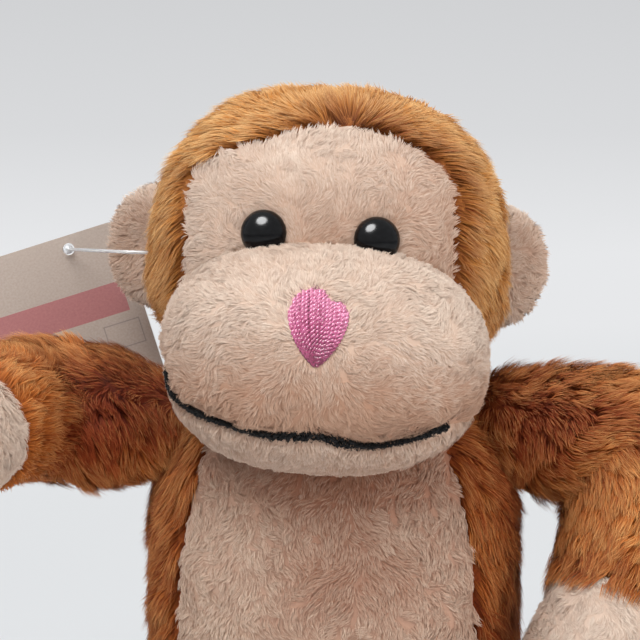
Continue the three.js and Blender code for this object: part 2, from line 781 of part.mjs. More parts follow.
function buildTag() {
  const card = new THREE.Shape();
  card.moveTo(0, 0);
  card.lineTo(-tagWidth, 0);
  card.lineTo(-tagWidth, -tagHeight);
  card.lineTo(0, -tagHeight);
  card.closePath();
  card.holes.push(new THREE.Path().absarc(-tagHoleInset, -tagHoleDrop, tagHoleRadius, 0, 2 * Math.PI));
  const sheet = new THREE.ExtrudeGeometry(card, { depth: tagThick, bevelEnabled: false, curveSegments: 8 });
  const frame = new THREE.Matrix4()
    .makeTranslation(-tagCorner, tagSetBack + tagThick, tagCornerHeight)
    .multiply(new THREE.Matrix4().makeRotationY(radians(-tagTilt)))
    .multiply(new THREE.Matrix4().makeRotationX(Math.PI / 2));
  node(group, "hang_tag", solid(sheet.applyMatrix4(frame)), finish(cardGrey, 0.7));

  const hole = vec(-tagHoleInset, -tagHoleDrop, 0).applyMatrix4(frame);
  const knobAt = hole.clone().setY(tagSetBack - seamGap - pinKnob);
  const anchor = eggSide(headEgg, -1, -pinSetForward, pinRise, seamGap).applyMatrix4(headFrame);
  const route = new THREE.CatmullRomCurve3([
    anchor,
    anchor.clone().add(vec(-pinSetForward, 0, 0)),
    vec((anchor.x + knobAt.x) / 2 - pinSetForward / 2, 0, anchor.z),
    knobAt,
  ]);
  const section = new THREE.Shape().absarc(0, 0, pinThread, 0, 2 * Math.PI);
  const thread = new THREE.ExtrudeGeometry(section, {
    extrudePath: route,
    steps: 12,
    curveSegments: 3,
    bevelEnabled: false,
  });
  const knob = solid(new THREE.SphereGeometry(pinKnob, 8, 6).translate(knobAt.x, knobAt.y, knobAt.z));
  node(group, "tag_pin", joined(solid(thread), knob), finish(nylonClear, 0.2));
}

buildTorso();
arms.forEach(buildArm);
legs.forEach(buildLeg);
node(group, "tail", minus(limbSolid(tailForm, 0, 10, 10), floor), brown());
node(group, "neck_stuffing", ballSolid(vec(frontShift, 0, neckHeight), neckBall), fill());
buildHead();
buildTag();

export default group;
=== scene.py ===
"""Looks of a small sitting plush monkey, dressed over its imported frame.

Sizes and places are in millimetres until a mesh, a lamp or the camera is made.
The doll faces -Y, +Z is up and +X is the doll's own left.
"""

import math

import bmesh
import bpy
import numpy as np
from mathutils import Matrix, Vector, kdtree


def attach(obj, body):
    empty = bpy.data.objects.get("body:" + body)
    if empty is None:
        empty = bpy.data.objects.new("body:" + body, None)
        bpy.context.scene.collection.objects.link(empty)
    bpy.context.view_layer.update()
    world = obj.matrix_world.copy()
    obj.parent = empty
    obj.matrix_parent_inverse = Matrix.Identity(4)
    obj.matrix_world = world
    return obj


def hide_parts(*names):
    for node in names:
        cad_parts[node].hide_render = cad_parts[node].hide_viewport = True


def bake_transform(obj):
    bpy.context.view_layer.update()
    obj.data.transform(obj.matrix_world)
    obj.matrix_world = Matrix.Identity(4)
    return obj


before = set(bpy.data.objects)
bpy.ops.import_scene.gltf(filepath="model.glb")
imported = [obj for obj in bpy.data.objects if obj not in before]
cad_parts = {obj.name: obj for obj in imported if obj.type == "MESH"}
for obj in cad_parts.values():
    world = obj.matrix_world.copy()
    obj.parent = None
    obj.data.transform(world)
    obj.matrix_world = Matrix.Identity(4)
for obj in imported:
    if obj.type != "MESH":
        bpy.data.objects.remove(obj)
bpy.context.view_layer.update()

scene = bpy.context.scene
MM = 0.001
SIDES = (("left", 1), ("right", -1))

# Camera, at the photograph's viewing angle

TARGET = np.array([-3.4, -40, 128.5])
DISTANCE = 450
ELEVATION = math.radians(5)
HALF_VIEW = 70.5  # half of what the picture shows at the target


def make_camera():
    data = bpy.data.cameras.new("camera")
    data.sensor_width = 36
    data.lens = data.sensor_width / 2 * DISTANCE / HALF_VIEW
    camera = bpy.data.objects.new("camera", data)
    back = np.array([0, -math.cos(ELEVATION), math.sin(ELEVATION)])
    camera.location = (TARGET + DISTANCE * back) * MM
    camera.rotation_euler = (math.pi / 2 - ELEVATION, 0, 0)
    scene.collection.objects.link(camera)
    scene.camera = camera


make_camera()

# Sizes of the doll, as in its frame

FRONT_SHIFT = -1.9
NECK_HEIGHT = 111.5
HEAD_ROLL = math.radians(3.5)
CLOTH = 1.2  # thickness of a skin
TUCK, ROOT_TUCK = -2, -0.3  # how far a limb's cloth, and its pile's roots, run into the torso

FACE_SHIFT = -3.6
FACE_HALF_WIDTH = 29.6
FACE_TOP, FACE_LOW = 58.9, 22
FACE_SPAN_SHARES = [-1, -1, -0.97, -0.8, -0.45, -0.15, 0.07, 0.28, 0.61, 0.83, 0.94, 1, 1]
FACE_RISE_SHARES = [0, 0.45, 0.7, 0.79, 0.89, 0.97, 1, 0.99, 0.91, 0.83, 0.72, 0.35, 0]
MOUTH_SPAN_SHARES = [
    -1.2, -0.955, -0.91, -0.82, -0.72, -0.57, -0.44, -0.26, 0, 0.14, 0.32, 0.53, 0.7, 0.85, 1.2,
]
MOUTH_RISE_SHARES = [
    0, -0.12, -0.32, -0.42, -0.47, -0.53, -0.575, -0.6, -0.57, -0.62, -0.64, -0.575, -0.485, -0.42, -0.3,
]
MOUTH_REACH = (-34.4, 28.8)  # the stitched line's ends, from the muzzle's middle
BELLY_HALF_WIDTHS = [19, 30, 33.5, 32.5, 27, 20]
BELLY_HEIGHTS = [7, 24, 50, 74, 97, 112]
BELLY_EDGE = -18  # the belly panel ends here, on the shoulders
SEAT_HALF_WIDTH, SEAT_HALF_DEPTH, SEAT_TOP = 24, 18, 10

EYE_SPREAD, EYE_RISE = 12.6, 35.0
EYE_RADIUS, EYE_DOME = 5.2, 3.9
SHANK_RADIUS, SHANK_LENGTH = 1.7, 8.7
NOSE_SHIFT = 0.6
NOSE_HALF_WIDTH, NOSE_HEIGHT, NOSE_TOP = 6.4, 15.4, 24
EAR_REACH, EAR_ROOT, EAR_HALF_HEIGHT, EAR_HALF_THICK = 10.6, 5, 14.4, 3.4
EAR_RISE, EAR_BACK = 28.7, 4

SHOULDER = np.array([43, -4, 100.4])
ARM_LENGTHS = (27, 35, 19)
ARM_RADII = (11.2, 14.6, 14.4, 12.6, 13.4)
ELBOW_CUFF, UPPER_REACH = 8, 30  # where the sleeves meet, above the elbow and from the shoulder
HIP = np.array([25, -26, 12.5])
LEG_SPLAY = math.radians(12)
LEG_STATIONS = ((0, 12.5, 12.5), (20, 13.1, 13.6), (40, 12.8, 12.8), (54, 15.1, 15.6))  # run, height, radius
LIMB_TIP = 9
TAIL_RADIUS = 5.6
TAIL_ROUTE = [(0, 30, 11), (4.25, 47, 5.6), (21.25, 55.5, 5.6), (38.25, 47, 5.6), (42.5, 30, 5.6)]

CARD_CORNER = np.array([-54.3, 22, 148.2])
CARD_TILT = math.radians(17.5)
CARD_WIDTH, CARD_HEIGHT, CARD_THICK, CARD_ROUND = 50, 44, 0.6, 2.5
HOLE_AT, HOLE_RADIUS = (13.6, 3.4), 1.5
PIN_ANCHOR, PIN_KNOB = np.array([-41.6, -8, 141.6]), np.array([-66.2, 20.5, 140.9])
PIN_RADIUS, KNOB_RADIUS = 0.42, 1.25


# Small vector helpers


def unit(v):
    return v / np.maximum(np.linalg.norm(v, axis=-1, keepdims=True), 1e-9)


def dot(a, b):
    return np.sum(a * b, axis=-1, keepdims=True)


def past(p, at, way):
    """How far points are past a place along a way."""
    return dot(p - at, way)[:, 0]


def flat_on(v, normals):
    """v laid flat on the surface."""
    return unit(v - dot(v, normals) * normals)


def smooth(low, high, value):
    t = np.clip((value - low) / (high - low), 0, 1)
    return t * t * (3 - 2 * t)


def fade(gap, reach):
    """1 where there is no gap, falling off over a reach."""
    return np.exp(-(gap / reach) ** 2)


def near(p, at, reach):
    """1 at a place, falling off around it over a reach, or over one along each axis."""
    return fade(np.linalg.norm((p - at) / reach, axis=1), 1)


def per_point(value, points):
    """A value for each point, from a number or from a function of the points."""
    return np.broadcast_to(value(points) if callable(value) else value, len(points))


def run_along(path):
    """The length of a path up to each of its points."""
    return np.concatenate([[0], np.cumsum(np.linalg.norm(np.diff(path, axis=0), axis=1))])


def noise(points, size, seed=0):
    """Smooth noise from -1 to 1 with features of about that size."""
    q = points / size + 100
    cell = np.floor(q).astype(np.int64)
    f = q - cell
    f = f * f * (3 - 2 * f)
    total = 0
    for corner in np.ndindex(2, 2, 2):
        i, j, k = (cell + corner).T
        h = (i * 73856093) ^ (j * 19349663) ^ (k * 83492791) ^ (seed * 7919)
        h = (h ^ (h >> 13)) * 1274126177
        h = (h ^ (h >> 16)) & 0xFFFF
        weight = np.prod(np.where(corner, f, 1 - f), axis=1)
        total = total + weight * (h / 32767.5 - 1)
    return total


def head_frame(points, turn_only=False):
    """Points or directions of the head's own frame, in the doll's frame."""
    x, y, z = points.T
    c, s = math.cos(HEAD_ROLL), math.sin(HEAD_ROLL)
    turned = np.stack([x * c + z * s, y, z * c - x * s], 1)
    return turned if turn_only else turned + np.array([FRONT_SHIFT, 0, NECK_HEIGHT])


# Forms


class Egg:
    """An egg with six reaches, and its squareness in plan and in profile."""

    def __init__(self, at, half_width, front, back, up, down, plan, side):
        self.at = np.array(at, float)
        self.half_width, self.front, self.back = half_width, front, back
        self.up, self.down, self.plan, self.side = up, down, plan, side

    def reach(self, p, grow=0):
        deep = np.where(p[:, 1] < 0, self.front, self.back)
        high = np.where(p[:, 2] < 0, self.down, self.up)
        return np.stack([np.full(len(p), float(self.half_width)), deep, high], 1) + grow

    def size(self, q):
        plan = np.abs(q[:, 0]) ** self.plan + np.abs(q[:, 1]) ** self.plan
        return (plan ** (self.side / self.plan) + np.abs(q[:, 2]) ** self.side) ** (1 / self.side)

    def place(self, directions):
        return self.at + directions / self.size(directions)[:, None] * self.reach(directions)

    def holds(self, points, grow=0):
        p = points - self.at
        return self.size(p / self.reach(p, grow)) < 1

    def front_at(self, x, z):
        """The front of the egg at x and z, as points."""
        rise = np.abs((z - self.at[2]) / np.where(z < self.at[2], self.down, self.up)) ** self.side
        across = np.abs((x - self.at[0]) / self.half_width) ** self.plan
        left = np.maximum(np.maximum(1 - rise, 0) ** (self.plan / self.side) - across, 0)
        return np.stack([x, self.at[1] - self.front * left ** (1 / self.plan), z], 1)

    def facing(self, points):
        """The outward normal at points of its surface."""
        p = points - self.at
        reach = self.reach(p)
        step = 0.05
        slope = [self.size((p + e) / reach) - self.size((p - e) / reach) for e in np.eye(3) * step]
        return unit(np.stack(slope, 1))

    def over(self, x, z, height):
        """A path over the egg's front at x and z, lifted off it by a height."""
        base = self.front_at(x, z)
        return base + self.facing(base) * height[:, None]


TORSO = Egg((0, 0, 50), 42.6, 31, 31, 59, 50.5, 2.4, 4.2)
HEAD = Egg((-1.3, 0, 24.5), 41, 36, 37, 42.6, 22, 2.3, 2.5)
MUZZLE = Egg((-1.3, -30, 7.7), 36, 28.5, 16, 25, 25, 2.5, 2.3)


def open_edges(faces):
    """The edges that only one triangle has, as pairs of points in that triangle's order."""
    edges = np.concatenate([faces[:, [0, 1]], faces[:, [1, 2]], faces[:, [2, 0]]])
    _, first, counts = np.unique(np.sort(edges, axis=1), axis=0, return_index=True, return_counts=True)
    return edges[first[counts == 1]]


def ring_faces(rings, around):
    """Triangles round a first pole, rings of points and a last pole, in that order."""
    k = np.arange(around)
    nxt = (k + 1) % around
    last = 1 + rings * around
    faces = [np.stack([np.zeros_like(k), 1 + nxt, 1 + k], 1)]
    for a in range(1, last - around, around):
        b = a + around
        faces += [np.stack([a + k, a + nxt, b + k], 1), np.stack([a + nxt, b + nxt, b + k], 1)]
    end = last - around
    faces.append(np.stack([np.full_like(k, last), end + k, end + nxt], 1))
    return np.concatenate(faces)


class Skin:
    """A fine triangle skin, with the way that its pile lies where a form gives it."""

    def __init__(self, points, faces, flow=None):
        self.points, self.faces, self.flow = points, faces, flow
        a, b, c = (points[faces[:, k]] for k in range(3))
        across = np.cross(b - a, c - a)
        self.area = np.linalg.norm(across, axis=1) / 2
        self.normals = np.zeros_like(points)
        for k in range(3):
            np.add.at(self.normals, faces[:, k], across)
        self.normals = unit(self.normals)

    def above_floor(self):
        """This skin with no point under the floor. Its areas and normals stay."""
        self.points[:, 2] = np.maximum(self.points[:, 2], 0)
        return self

    def cut(self, keep, touching=False):
        """The skin's triangles whose points are all kept, or that touch a kept point."""
        kept = keep[self.faces]
        faces = self.faces[kept.any(axis=1) if touching else kept.all(axis=1)]
        used, index = np.unique(faces, return_inverse=True)
        flow = None if self.flow is None else self.flow[used]
        made = Skin(self.points[used], index.reshape(-1, 3), flow)
        made.normals = self.normals[used]
        return made

    def rim(self):
        """Whether each point is on the skin's open edge."""
        edge = np.zeros(len(self.points), bool)
        edge[open_edges(self.faces)] = True
        return edge

    def dented(self, depth):
        return Skin(self.points - self.normals * depth[:, None], self.faces, self.flow)

    def scatter(self, density, rng):
        """Random points over the skin, with their normals and the way of the pile."""
        count = int(self.area.sum() * density)
        pick = rng.choice(len(self.area), count, p=self.area / self.area.sum())
        u, v = rng.random((2, count))
        over = u + v > 1
        u, v = np.where(over, 1 - u, u), np.where(over, 1 - v, v)
        weights = np.stack([1 - u - v, u, v], 1)
        corners = self.faces[pick]
        mixed = lambda values: np.einsum("ij,ijk->ik", weights, values[corners])
        flow = None if self.flow is None else unit(mixed(self.flow))
        return mixed(self.points), unit(mixed(self.normals)), flow

    def closed(self):
        """The skin's points, triangles and normals as a thin closed shell."""
        n = len(self.points)
        points = np.concatenate([self.points, self.points - self.normals * CLOTH])
        a, b = open_edges(self.faces).T
        sides = [np.stack([b, a, a + n], 1), np.stack([b, a + n, b + n], 1)]
        faces = np.concatenate([self.faces, self.faces[:, ::-1] + n, *sides])
        return points, faces, np.concatenate([self.normals, -self.normals])


def egg_skin(egg, n):
    """An egg's skin, from a cube's grid of n cells a side blown up to a sphere."""
    n = n
    t = np.tan(np.linspace(-1, 1, n + 1) * math.pi / 4)
    a, b = (v.ravel() for v in np.meshgrid(t, t, indexing="ij"))
    k = np.arange(a.size).reshape(n + 1, n + 1)
    quad = [k[:-1, :-1].ravel(), k[1:, :-1].ravel(), k[1:, 1:].ravel(), k[:-1, 1:].ravel()]
    halves = np.concatenate([np.stack([quad[0], quad[j], quad[j + 1]], 1) for j in (1, 2)])
    sides, faces = [], []
    for axis in range(3):
        for sign in (1.0, -1.0):
            faces.append(halves + len(sides) * k.size)
            sides.append(np.roll(np.stack([np.full(a.size, sign), a * sign, b], 1), axis, axis=1))
    points, index = np.unique(np.round(np.concatenate(sides), 6), axis=0, return_inverse=True)
    return Skin(egg.place(unit(points)), index.ravel()[np.concatenate(faces)])


def route(points, shares):
    """Places along a centripetal Catmull-Rom curve."""
    points = np.array(points, float)
    ends = np.concatenate([[2 * points[0] - points[1]], points, [2 * points[-1] - points[-2]]])
    spans = len(points) - 1
    at = np.clip(np.asarray(shares, float) * spans, 0, spans)
    k = np.minimum(at.astype(int), spans - 1)
    t = (at - k)[:, None]
    p0, p1, p2, p3 = (ends[k + j] for j in range(4))
    d0, d1, d2 = (np.maximum(np.linalg.norm(b - a, axis=1, keepdims=True), 1e-6) ** 0.5
                  for a, b in ((p0, p1), (p1, p2), (p2, p3)))
    m1 = ((p1 - p0) / d0 - (p2 - p0) / (d0 + d1) + (p2 - p1) / d1) * d1
    m2 = ((p2 - p1) / d1 - (p3 - p1) / (d1 + d2) + (p3 - p2) / d2) * d1
    return p1 + m1 * t + (3 * (p2 - p1) - 2 * m1 - m2) * t ** 2 + (2 * (p1 - p2) + m1 + m2) * t ** 3


def spline(points, count):
    """A curve through points of the doll's front view."""
    return route([[x, 0, z] for x, z in points], np.linspace(0, 1, count))[:, [0, 2]]


class Limb:
    """A stuffed tube through points, with a half width at each and a rounded tip."""

    ROOT_RINGS = 8

    def __init__(self, points, radii, tip_round, up):
        self.points, self.radii = np.array(points, float), radii
        self.tip_round, self.up = tip_round, np.array(up, float)

    def along(self, shares):
        shares = np.asarray(shares, float)
        ahead, behind = np.minimum(shares + 1e-3, 1), np.maximum(shares - 1e-3, 0)
        return unit(route(self.points, ahead) - route(self.points, behind))

    def skin(self, around, steps):
        shares = np.linspace(0, 1, steps + 1)
        centres, ways = route(self.points, shares), self.along(shares)
        radii = route([[r, 0, 0] for r in self.radii], shares)[:, 0]
        caps = np.linspace(0, math.pi / 2, self.ROOT_RINGS + 2)[1:-1]
        root, tip = -ways[0] * radii[0], ways[-1] * self.tip_round
        rings = [(centres[0] + root * math.cos(a), ways[0], radii[0] * math.sin(a)) for a in caps]
        rings += zip(centres, ways, radii)
        rings += [(centres[-1] + tip * math.sin(a), ways[-1], radii[-1] * math.cos(a)) for a in caps]
        turns = np.linspace(0, 2 * math.pi, around, endpoint=False)[:, None]
        points, flow = [[centres[0] + root]], [ways[:1]]
        for centre, way, radius in rings:
            side = unit(np.cross(self.up, way))
            over = np.cross(way, side)
            points.append(centre + radius * (np.cos(turns) * side + np.sin(turns) * over))
            flow.append(np.repeat(way[None], around, 0))
        points = np.concatenate([*points, [centres[-1] + tip]])
        return Skin(points, ring_faces(len(rings), around), np.concatenate([*flow, ways[-1:]]))


# Pile


class Coat:
    """How a cloth's pile grows: sizes in millimetres, angles in degrees. Without a rise it is straight."""

    def __init__(self, length, width, density, lean, clump, pull, ruffle, swirl, swirl_size, rise=0.0,
                 mottle=0.08, base=0.6, uneven=0.06):
        self.length, self.lean, self.clump, self.pull = length, math.radians(lean), clump, pull
        self.ruffle, self.swirl, self.swirl_size = math.radians(ruffle), math.radians(swirl), swirl_size
        self.width = width * 1
        self.density = density * 1
        self.rise, self.mottle, self.base, self.uneven = rise, mottle, base, uneven


# length, width, density, lean, clump, pull, ruffle, swirl, swirl size, rise, mottle, base, uneven
LONG = Coat(7.5, 0.22, 8.5, 76.5, 3.4, 0.12, 9, 32, 16, 0.11, 0.08, 0.9, 0.045)
SIDE_LONG = Coat(8.0, 0.22, 8, 74, 3.4, 0.16, 12, 42, 14, 0.11, 0.09, 0.85, 0.045)
ARM_LONG = Coat(6.8, 0.22, 8, 70.5, 3.2, 0.2, 14, 45, 12, 0.15, 0.09, 0.85)
TAIL_LONG = Coat(4.8, 0.22, 8, 66, 2.0, 0.35, 14, 30, 12, 0.14)
NECK_SHORT = Coat(3.5, 0.3, 5, 60, 2.2, 0.4, 20, 40, 10, 0.15, base=0)
SEAT_FLAT = Coat(1.2, 0.4, 4.0, 80, 2.0, 0.3, 30, 30, 12, base=0)
SHORT = Coat(2.7, 0.2, 15, 61, 2.0, 0.08, 20, 75, 6, 0.22, 0.07, 0.85)
EAR_SHORT = Coat(2.4, 0.2, 14, 60, 2.0, 0.1, 24, 75, 6, 0.22, 0.07, 0.4)
BELLY_SHORT = Coat(2.9, 0.24, 9.5, 60, 2.6, 0.14, 26, 65, 8, 0.24, 0.08, 0.8)
LIP = Coat(2.3, 0.2, 13, 60, 1.8, 0.1, 16, 40, 8, 0.22, 0.07, 0.5)

# How single strands and clumps differ: angles in radians, the rest as shares of their coat's
STRAND_TURN, STRAND_LEAN, STRAND_TWIST, MOST_LEAN = 0.12, 0.06, 0.35, 1.45
STRAND_LENGTHS, CLUMP_LENGTHS = (0.7, 1.15), (0.8, 1.12)
STRAND_PULLS, STRAND_WIDTHS = (0.5, 1.2), (0.7, 1.3)
# The cloth under the pile: its middle tone, and how far up the strands its colour and its rim's are taken
SHELL_TONE, SHELL_HEIGHT, RIM_HEIGHT = 0.42, 0.4, 0.15


def away_from(centre, drift=(0, 0, 0)):
    """Pile that lies away from a point, with a drift."""
    return lambda points, normals: flat_on(unit(points - np.array(centre, float)) + np.array(drift), normals)


def towards(way):
    return lambda points, normals: flat_on(np.broadcast_to(np.array(way, float), points.shape), normals)


def over_end(way):
    """Pile along a limb and downwards, that turns down over its rounded end."""
    def flow(points, normals):
        share = smooth(0.25, 0.8, dot(normals, way))
        return flat_on(way * (1 - share) * 0.6 - np.array([0, 0, 1.0]), normals)
    return flow


def pile(skin, coat, seed, flow=None, keep=None, tone=0, lean=1):
    """Tapered flat strands on a skin, drawn together in clumps, as points, triangles, normals and UVs."""
    rng = np.random.default_rng(seed)
    roots, normals, ways = skin.scatter(coat.density, rng)
    if keep is not None:
        kept = keep(roots)
        roots, normals = roots[kept], normals[kept]
        ways = None if ways is None else ways[kept]
    count = len(roots)
    ways = flow(roots, normals) if flow else flat_on(ways, normals)
    clumps = min(count, max(1, int(count / coat.density / coat.clump ** 2)))
    centres = rng.choice(count, clumps, replace=False)
    tree = kdtree.KDTree(clumps)
    for k, c in enumerate(centres):
        tree.insert(roots[c], k)
    tree.balance()
    own = np.array([tree.find(r)[1] for r in roots])
    lead = centres[own]

    turn = coat.swirl * noise(roots, coat.swirl_size, seed) + rng.normal(0, coat.ruffle, clumps)[own]
    turn = turn + rng.normal(0, STRAND_TURN, count)
    ways = ways * np.cos(turn)[:, None] + np.cross(normals, ways) * np.sin(turn)[:, None]
    leans = coat.lean * per_point(lean, roots) * (1 + rng.normal(0, coat.uneven, clumps)[own])
    leans = np.clip(leans + rng.normal(0, STRAND_LEAN, count), 0, MOST_LEAN)[:, None]
    lengths = coat.length * rng.uniform(*STRAND_LENGTHS, count) * rng.uniform(*CLUMP_LENGTHS, clumps)[own]
    lengths = lengths[:, None]
    tips = roots + (normals * np.cos(leans) + ways * np.sin(leans)) * lengths
    pull = (coat.pull * rng.uniform(*STRAND_PULLS, count))[:, None]
    tips = tips + np.clip(pull, 0, 0.95) * (tips[lead] - tips)
    mids = (roots + tips) / 2 + normals * coat.rise * lengths

    strand = unit(tips - roots)
    twist = rng.uniform(-STRAND_TWIST, STRAND_TWIST, count)[:, None]
    side = unit(np.cross(strand, normals))
    side = side * np.cos(twist) + np.cross(strand, side) * np.sin(twist)
    half = side * coat.width / 2 * rng.uniform(*STRAND_WIDTHS, count)[:, None]
    blade = np.cross(side, strand)
    blade = blade * np.sign(dot(blade, normals))
    soft = unit(normals * 0.85 + blade * 0.3)
    shade = unit(soft + strand * 0.2)
    corners = [0, 1, 2, 3, 4] if coat.rise else [0, 1, 4]
    faces = np.array([[0, 1, 2], [1, 3, 2], [2, 3, 4]] if coat.rise else [[0, 1, 2]])
    points = np.stack([roots - half, roots + half, mids - half * 0.85, mids + half * 0.85, tips], 1)
    shades = np.stack([soft, soft, soft, soft, shade], 1)
    height = np.array([0, 0, 0.5, 0.5, 1.0])[corners]
    spread = np.array([0, 0.003, 0, 0.003, 0.0015])[corners]
    faces = (faces[None] + len(corners) * np.arange(count)[:, None, None]).reshape(-1, 3)

    mottle = coat.mottle
    tones = 0.5 + mottle * rng.normal(0, 0.7, clumps)[own] + rng.normal(0, 1.5 * mottle, count)
    tones = tones + 1.5 * mottle * noise(roots, coat.swirl_size * 1.7, seed + 5)
    tones = np.clip(tones + per_point(tone, roots), 0.02, 0.98)
    uv = np.stack([tones[:, None] + spread, np.broadcast_to(height, (count, len(corners)))], 2)
    points, shades = (v[:, corners].reshape(-1, 3) for v in (points, shades))
    return points, faces, shades, uv.reshape(-1, 2)[faces]


def shell(skin, tone):
    """A skin's closed shell, with UVs near the middle of the colours, and near the root's on its edge."""
    points, faces, normals = skin.closed()
    tones = np.clip(SHELL_TONE + per_point(tone, skin.points), 0.02, 0.96)
    heights = np.where(skin.rim(), RIM_HEIGHT, SHELL_HEIGHT)
    both = np.stack([np.tile(tones, 2), np.tile(heights, 2)], 1)[faces].mean(axis=1)
    corner = np.array([[0, 0], [0.008, 0], [0.004, 0.04]])
    return points, faces, normals, both[:, None] + corner


# Meshes and materials


def linear(colour):
    """A colour written as seen, 0 to 255, as Blender's linear values."""
    c = np.array(colour, float) / 255
    c = np.where(c <= 0.04045, c / 12.92, ((c + 0.055) / 1.055) ** 2.4)
    return (*c, 1)


def add_object(name, data):
    made = bpy.data.objects.new(name, data)
    scene.collection.objects.link(made)
    return made


def make_mesh(name, parts, place=None):
    """One object of several parts, each of points, triangles, normals and UVs of its corners."""
    start = np.cumsum([0] + [len(p[0]) for p in parts])
    faces = np.concatenate([p[1] + s for p, s in zip(parts, start)])
    points, normals, uv = (np.concatenate([p[k] for p in parts]) for k in (0, 2, 3))
    if place:
        points, normals = place(points), place(normals, True)
    points[:, 2] = np.maximum(points[:, 2], 0)
    mesh = bpy.data.meshes.new(name)
    mesh.vertices.add(len(points))
    mesh.vertices.foreach_set("co", (points * MM).astype(np.float32).ravel())
    mesh.loops.add(faces.size)
    mesh.loops.foreach_set("vertex_index", faces.astype(np.int32).ravel())
    mesh.polygons.add(len(faces))
    mesh.polygons.foreach_set("loop_start", np.arange(0, faces.size, 3, dtype=np.int32))
    mesh.update(calc_edges=True)
    layer = mesh.uv_layers.new(name="OFBake")
    layer.data.foreach_set("uv", uv.astype(np.float32).ravel())
    custom = mesh.attributes.new("custom_normal", "FLOAT_VECTOR", "POINT")
    custom.data.foreach_set("vector", normals.astype(np.float32).ravel())
    mesh.update()
    return add_object(name, mesh)


def add_node(tree, kind, inputs=None, **fields):
    """A new shader node, with its inputs linked to sockets or set to values."""
    made = tree.nodes.new("ShaderNode" + kind)
    for name, value in fields.items():
        setattr(made, name, value)
    for name, value in (inputs or {}).items():
        if isinstance(value, bpy.types.NodeSocket):
            tree.links.new(value, made.inputs[name])
        else:
            made.inputs[name].default_value = value
    return made


def new_material(name, finish):
    """A material, its tree and its shader, with the finish set on the shader's inputs."""
    material = bpy.data.materials.new(name)
    material.use_nodes = True
    tree = material.node_tree
    shader = next(n for n in tree.nodes if n.type == "BSDF_PRINCIPLED")
    for field, value in finish.items():
        shader.inputs[field].default_value = value
    return material, tree, shader


def ramp(tree, value, places, colours):
    node = add_node(tree, "ValToRGB", {"Fac": value})
    elements = node.color_ramp.elements
    while len(elements) < len(colours):
        elements.new(0.5)
    for element, place, colour in zip(elements, places, colours):
        element.position = place
        element.color = linear(colour)
    return node.outputs["Color"]


def mixed(tree, factor, a, b):
    return add_node(tree, "Mix", {"Factor": factor, "A": a, "B": b}, data_type="RGBA").outputs["Result"]


def uv_parts(tree):
    """A piece's own UVs, and their two parts."""
    uv = add_node(tree, "UVMap", uv_map="OFBake").outputs["UV"]
    parts = add_node(tree, "SeparateXYZ", {"Vector": uv})
    return uv, parts.outputs["X"], parts.outputs["Y"]


def object_place(tree):
    return add_node(tree, "TexCoord").outputs["Object"]


def grained(name, finish, grain, colours, places=(0.3, 0.7), bump=None):
    """A material whose colour follows a fine grain, and its relief too where it has a bump."""
    material, tree, shader = new_material(name, finish)
    fac = add_node(tree, "TexNoise", {"Vector": object_place(tree), **grain}).outputs["Fac"]
    tree.links.new(ramp(tree, fac, places, colours), shader.inputs["Base Color"])
    if bump:
        raised = add_node(tree, "Bump", {"Height": fac, **bump})
        tree.links.new(raised.outputs["Normal"], shader.inputs["Normal"])
    return material


def cloth(name, slot, dark, light, sheen, tint):
    """A pile's material and its slot: three colours from root to tip, between a dark set and a light one. The
    roots are darker, partly the fibres' own colour and partly painted shade deep in the pile.
    """
    finish = {"Roughness": 0.85, "Specular IOR Level": 0.12, "Sheen Weight": sheen, "Sheen Roughness": 0.5,
              "Sheen Tint": linear(tint)}
    material, tree, shader = new_material(name, finish)
    _, tone, height = uv_parts(tree)
    deep, pale = (ramp(tree, height, (0.05, 0.45, 0.95), colours) for colours in (dark, light))
    tree.links.new(mixed(tree, tone, deep, pale), shader.inputs["Base Color"])
    return material, slot


BROWN = cloth(
    "brown_pile", "brown_pile",
    [(60, 17, 7), (106, 38, 14), (142, 62, 26)],
    [(148, 76, 28), (214, 142, 68), (244, 204, 142)],
    0.06, (240, 190, 130),
)
RUSSET = cloth(
    "russet_pile", "brown_pile",
    [(62, 16, 7), (108, 36, 13), (146, 58, 22)],
    [(150, 72, 26), (214, 124, 54), (244, 190, 120)],
    0.05, (240, 180, 120),
)
PINK = cloth(
    "pink_pile", "pink_pile",
    [(164, 120, 95), (178, 137, 112), (194, 158, 134)],
    [(210, 182, 160), (220, 199, 181), (230, 214, 198)],
    0.15, (255, 238, 224),
)
BELLY = cloth(
    "belly_pile", "pink_pile",
    [(138, 84, 62), (156, 104, 80), (176, 130, 104)],
    [(196, 160, 137), (210, 182, 160), (222, 202, 182)],
    0.1, (250, 222, 204),
)


def settle(made, material, slot, body, node):
    """A piece's material, its slot (not used), the body it rides on, if one alone, and the node it stands
    for.
    """
    made.data.materials.append(material)
    if body:
        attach(made, body)
    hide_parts(node)


def dress(name, finish, body, node, skin, coat, seed, place=None, fill=0.85, **lay):
    """A padded cloth piece: its skin's shell, out where the pile is too dense to see into, and the pile."""
    out = skin.dented(np.where(skin.rim(), 0, -coat.base))
    out.normals = skin.normals
    made = make_mesh(name, [shell(out, lay.get("tone", 0)), pile(skin, coat, seed, **lay)], place)
    settle(made, *finish, body, node)
    return made


def blend_over(made, at, way):
    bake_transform(made)


# Head


def inside(outline, x, z):
    """Whether points lie in a closed outline."""
    ax, az = outline.T
    bx, bz = np.roll(outline, -1, 0).T
    hit = np.zeros(len(x), bool)
    for x0, z0, x1, z1 in zip(ax, az, bx, bz):
        if z0 != z1:
            hit ^= ((z0 > z) != (z1 > z)) & (x < (x1 - x0) * (z - z0) / (z1 - z0) + x0)
    return hit


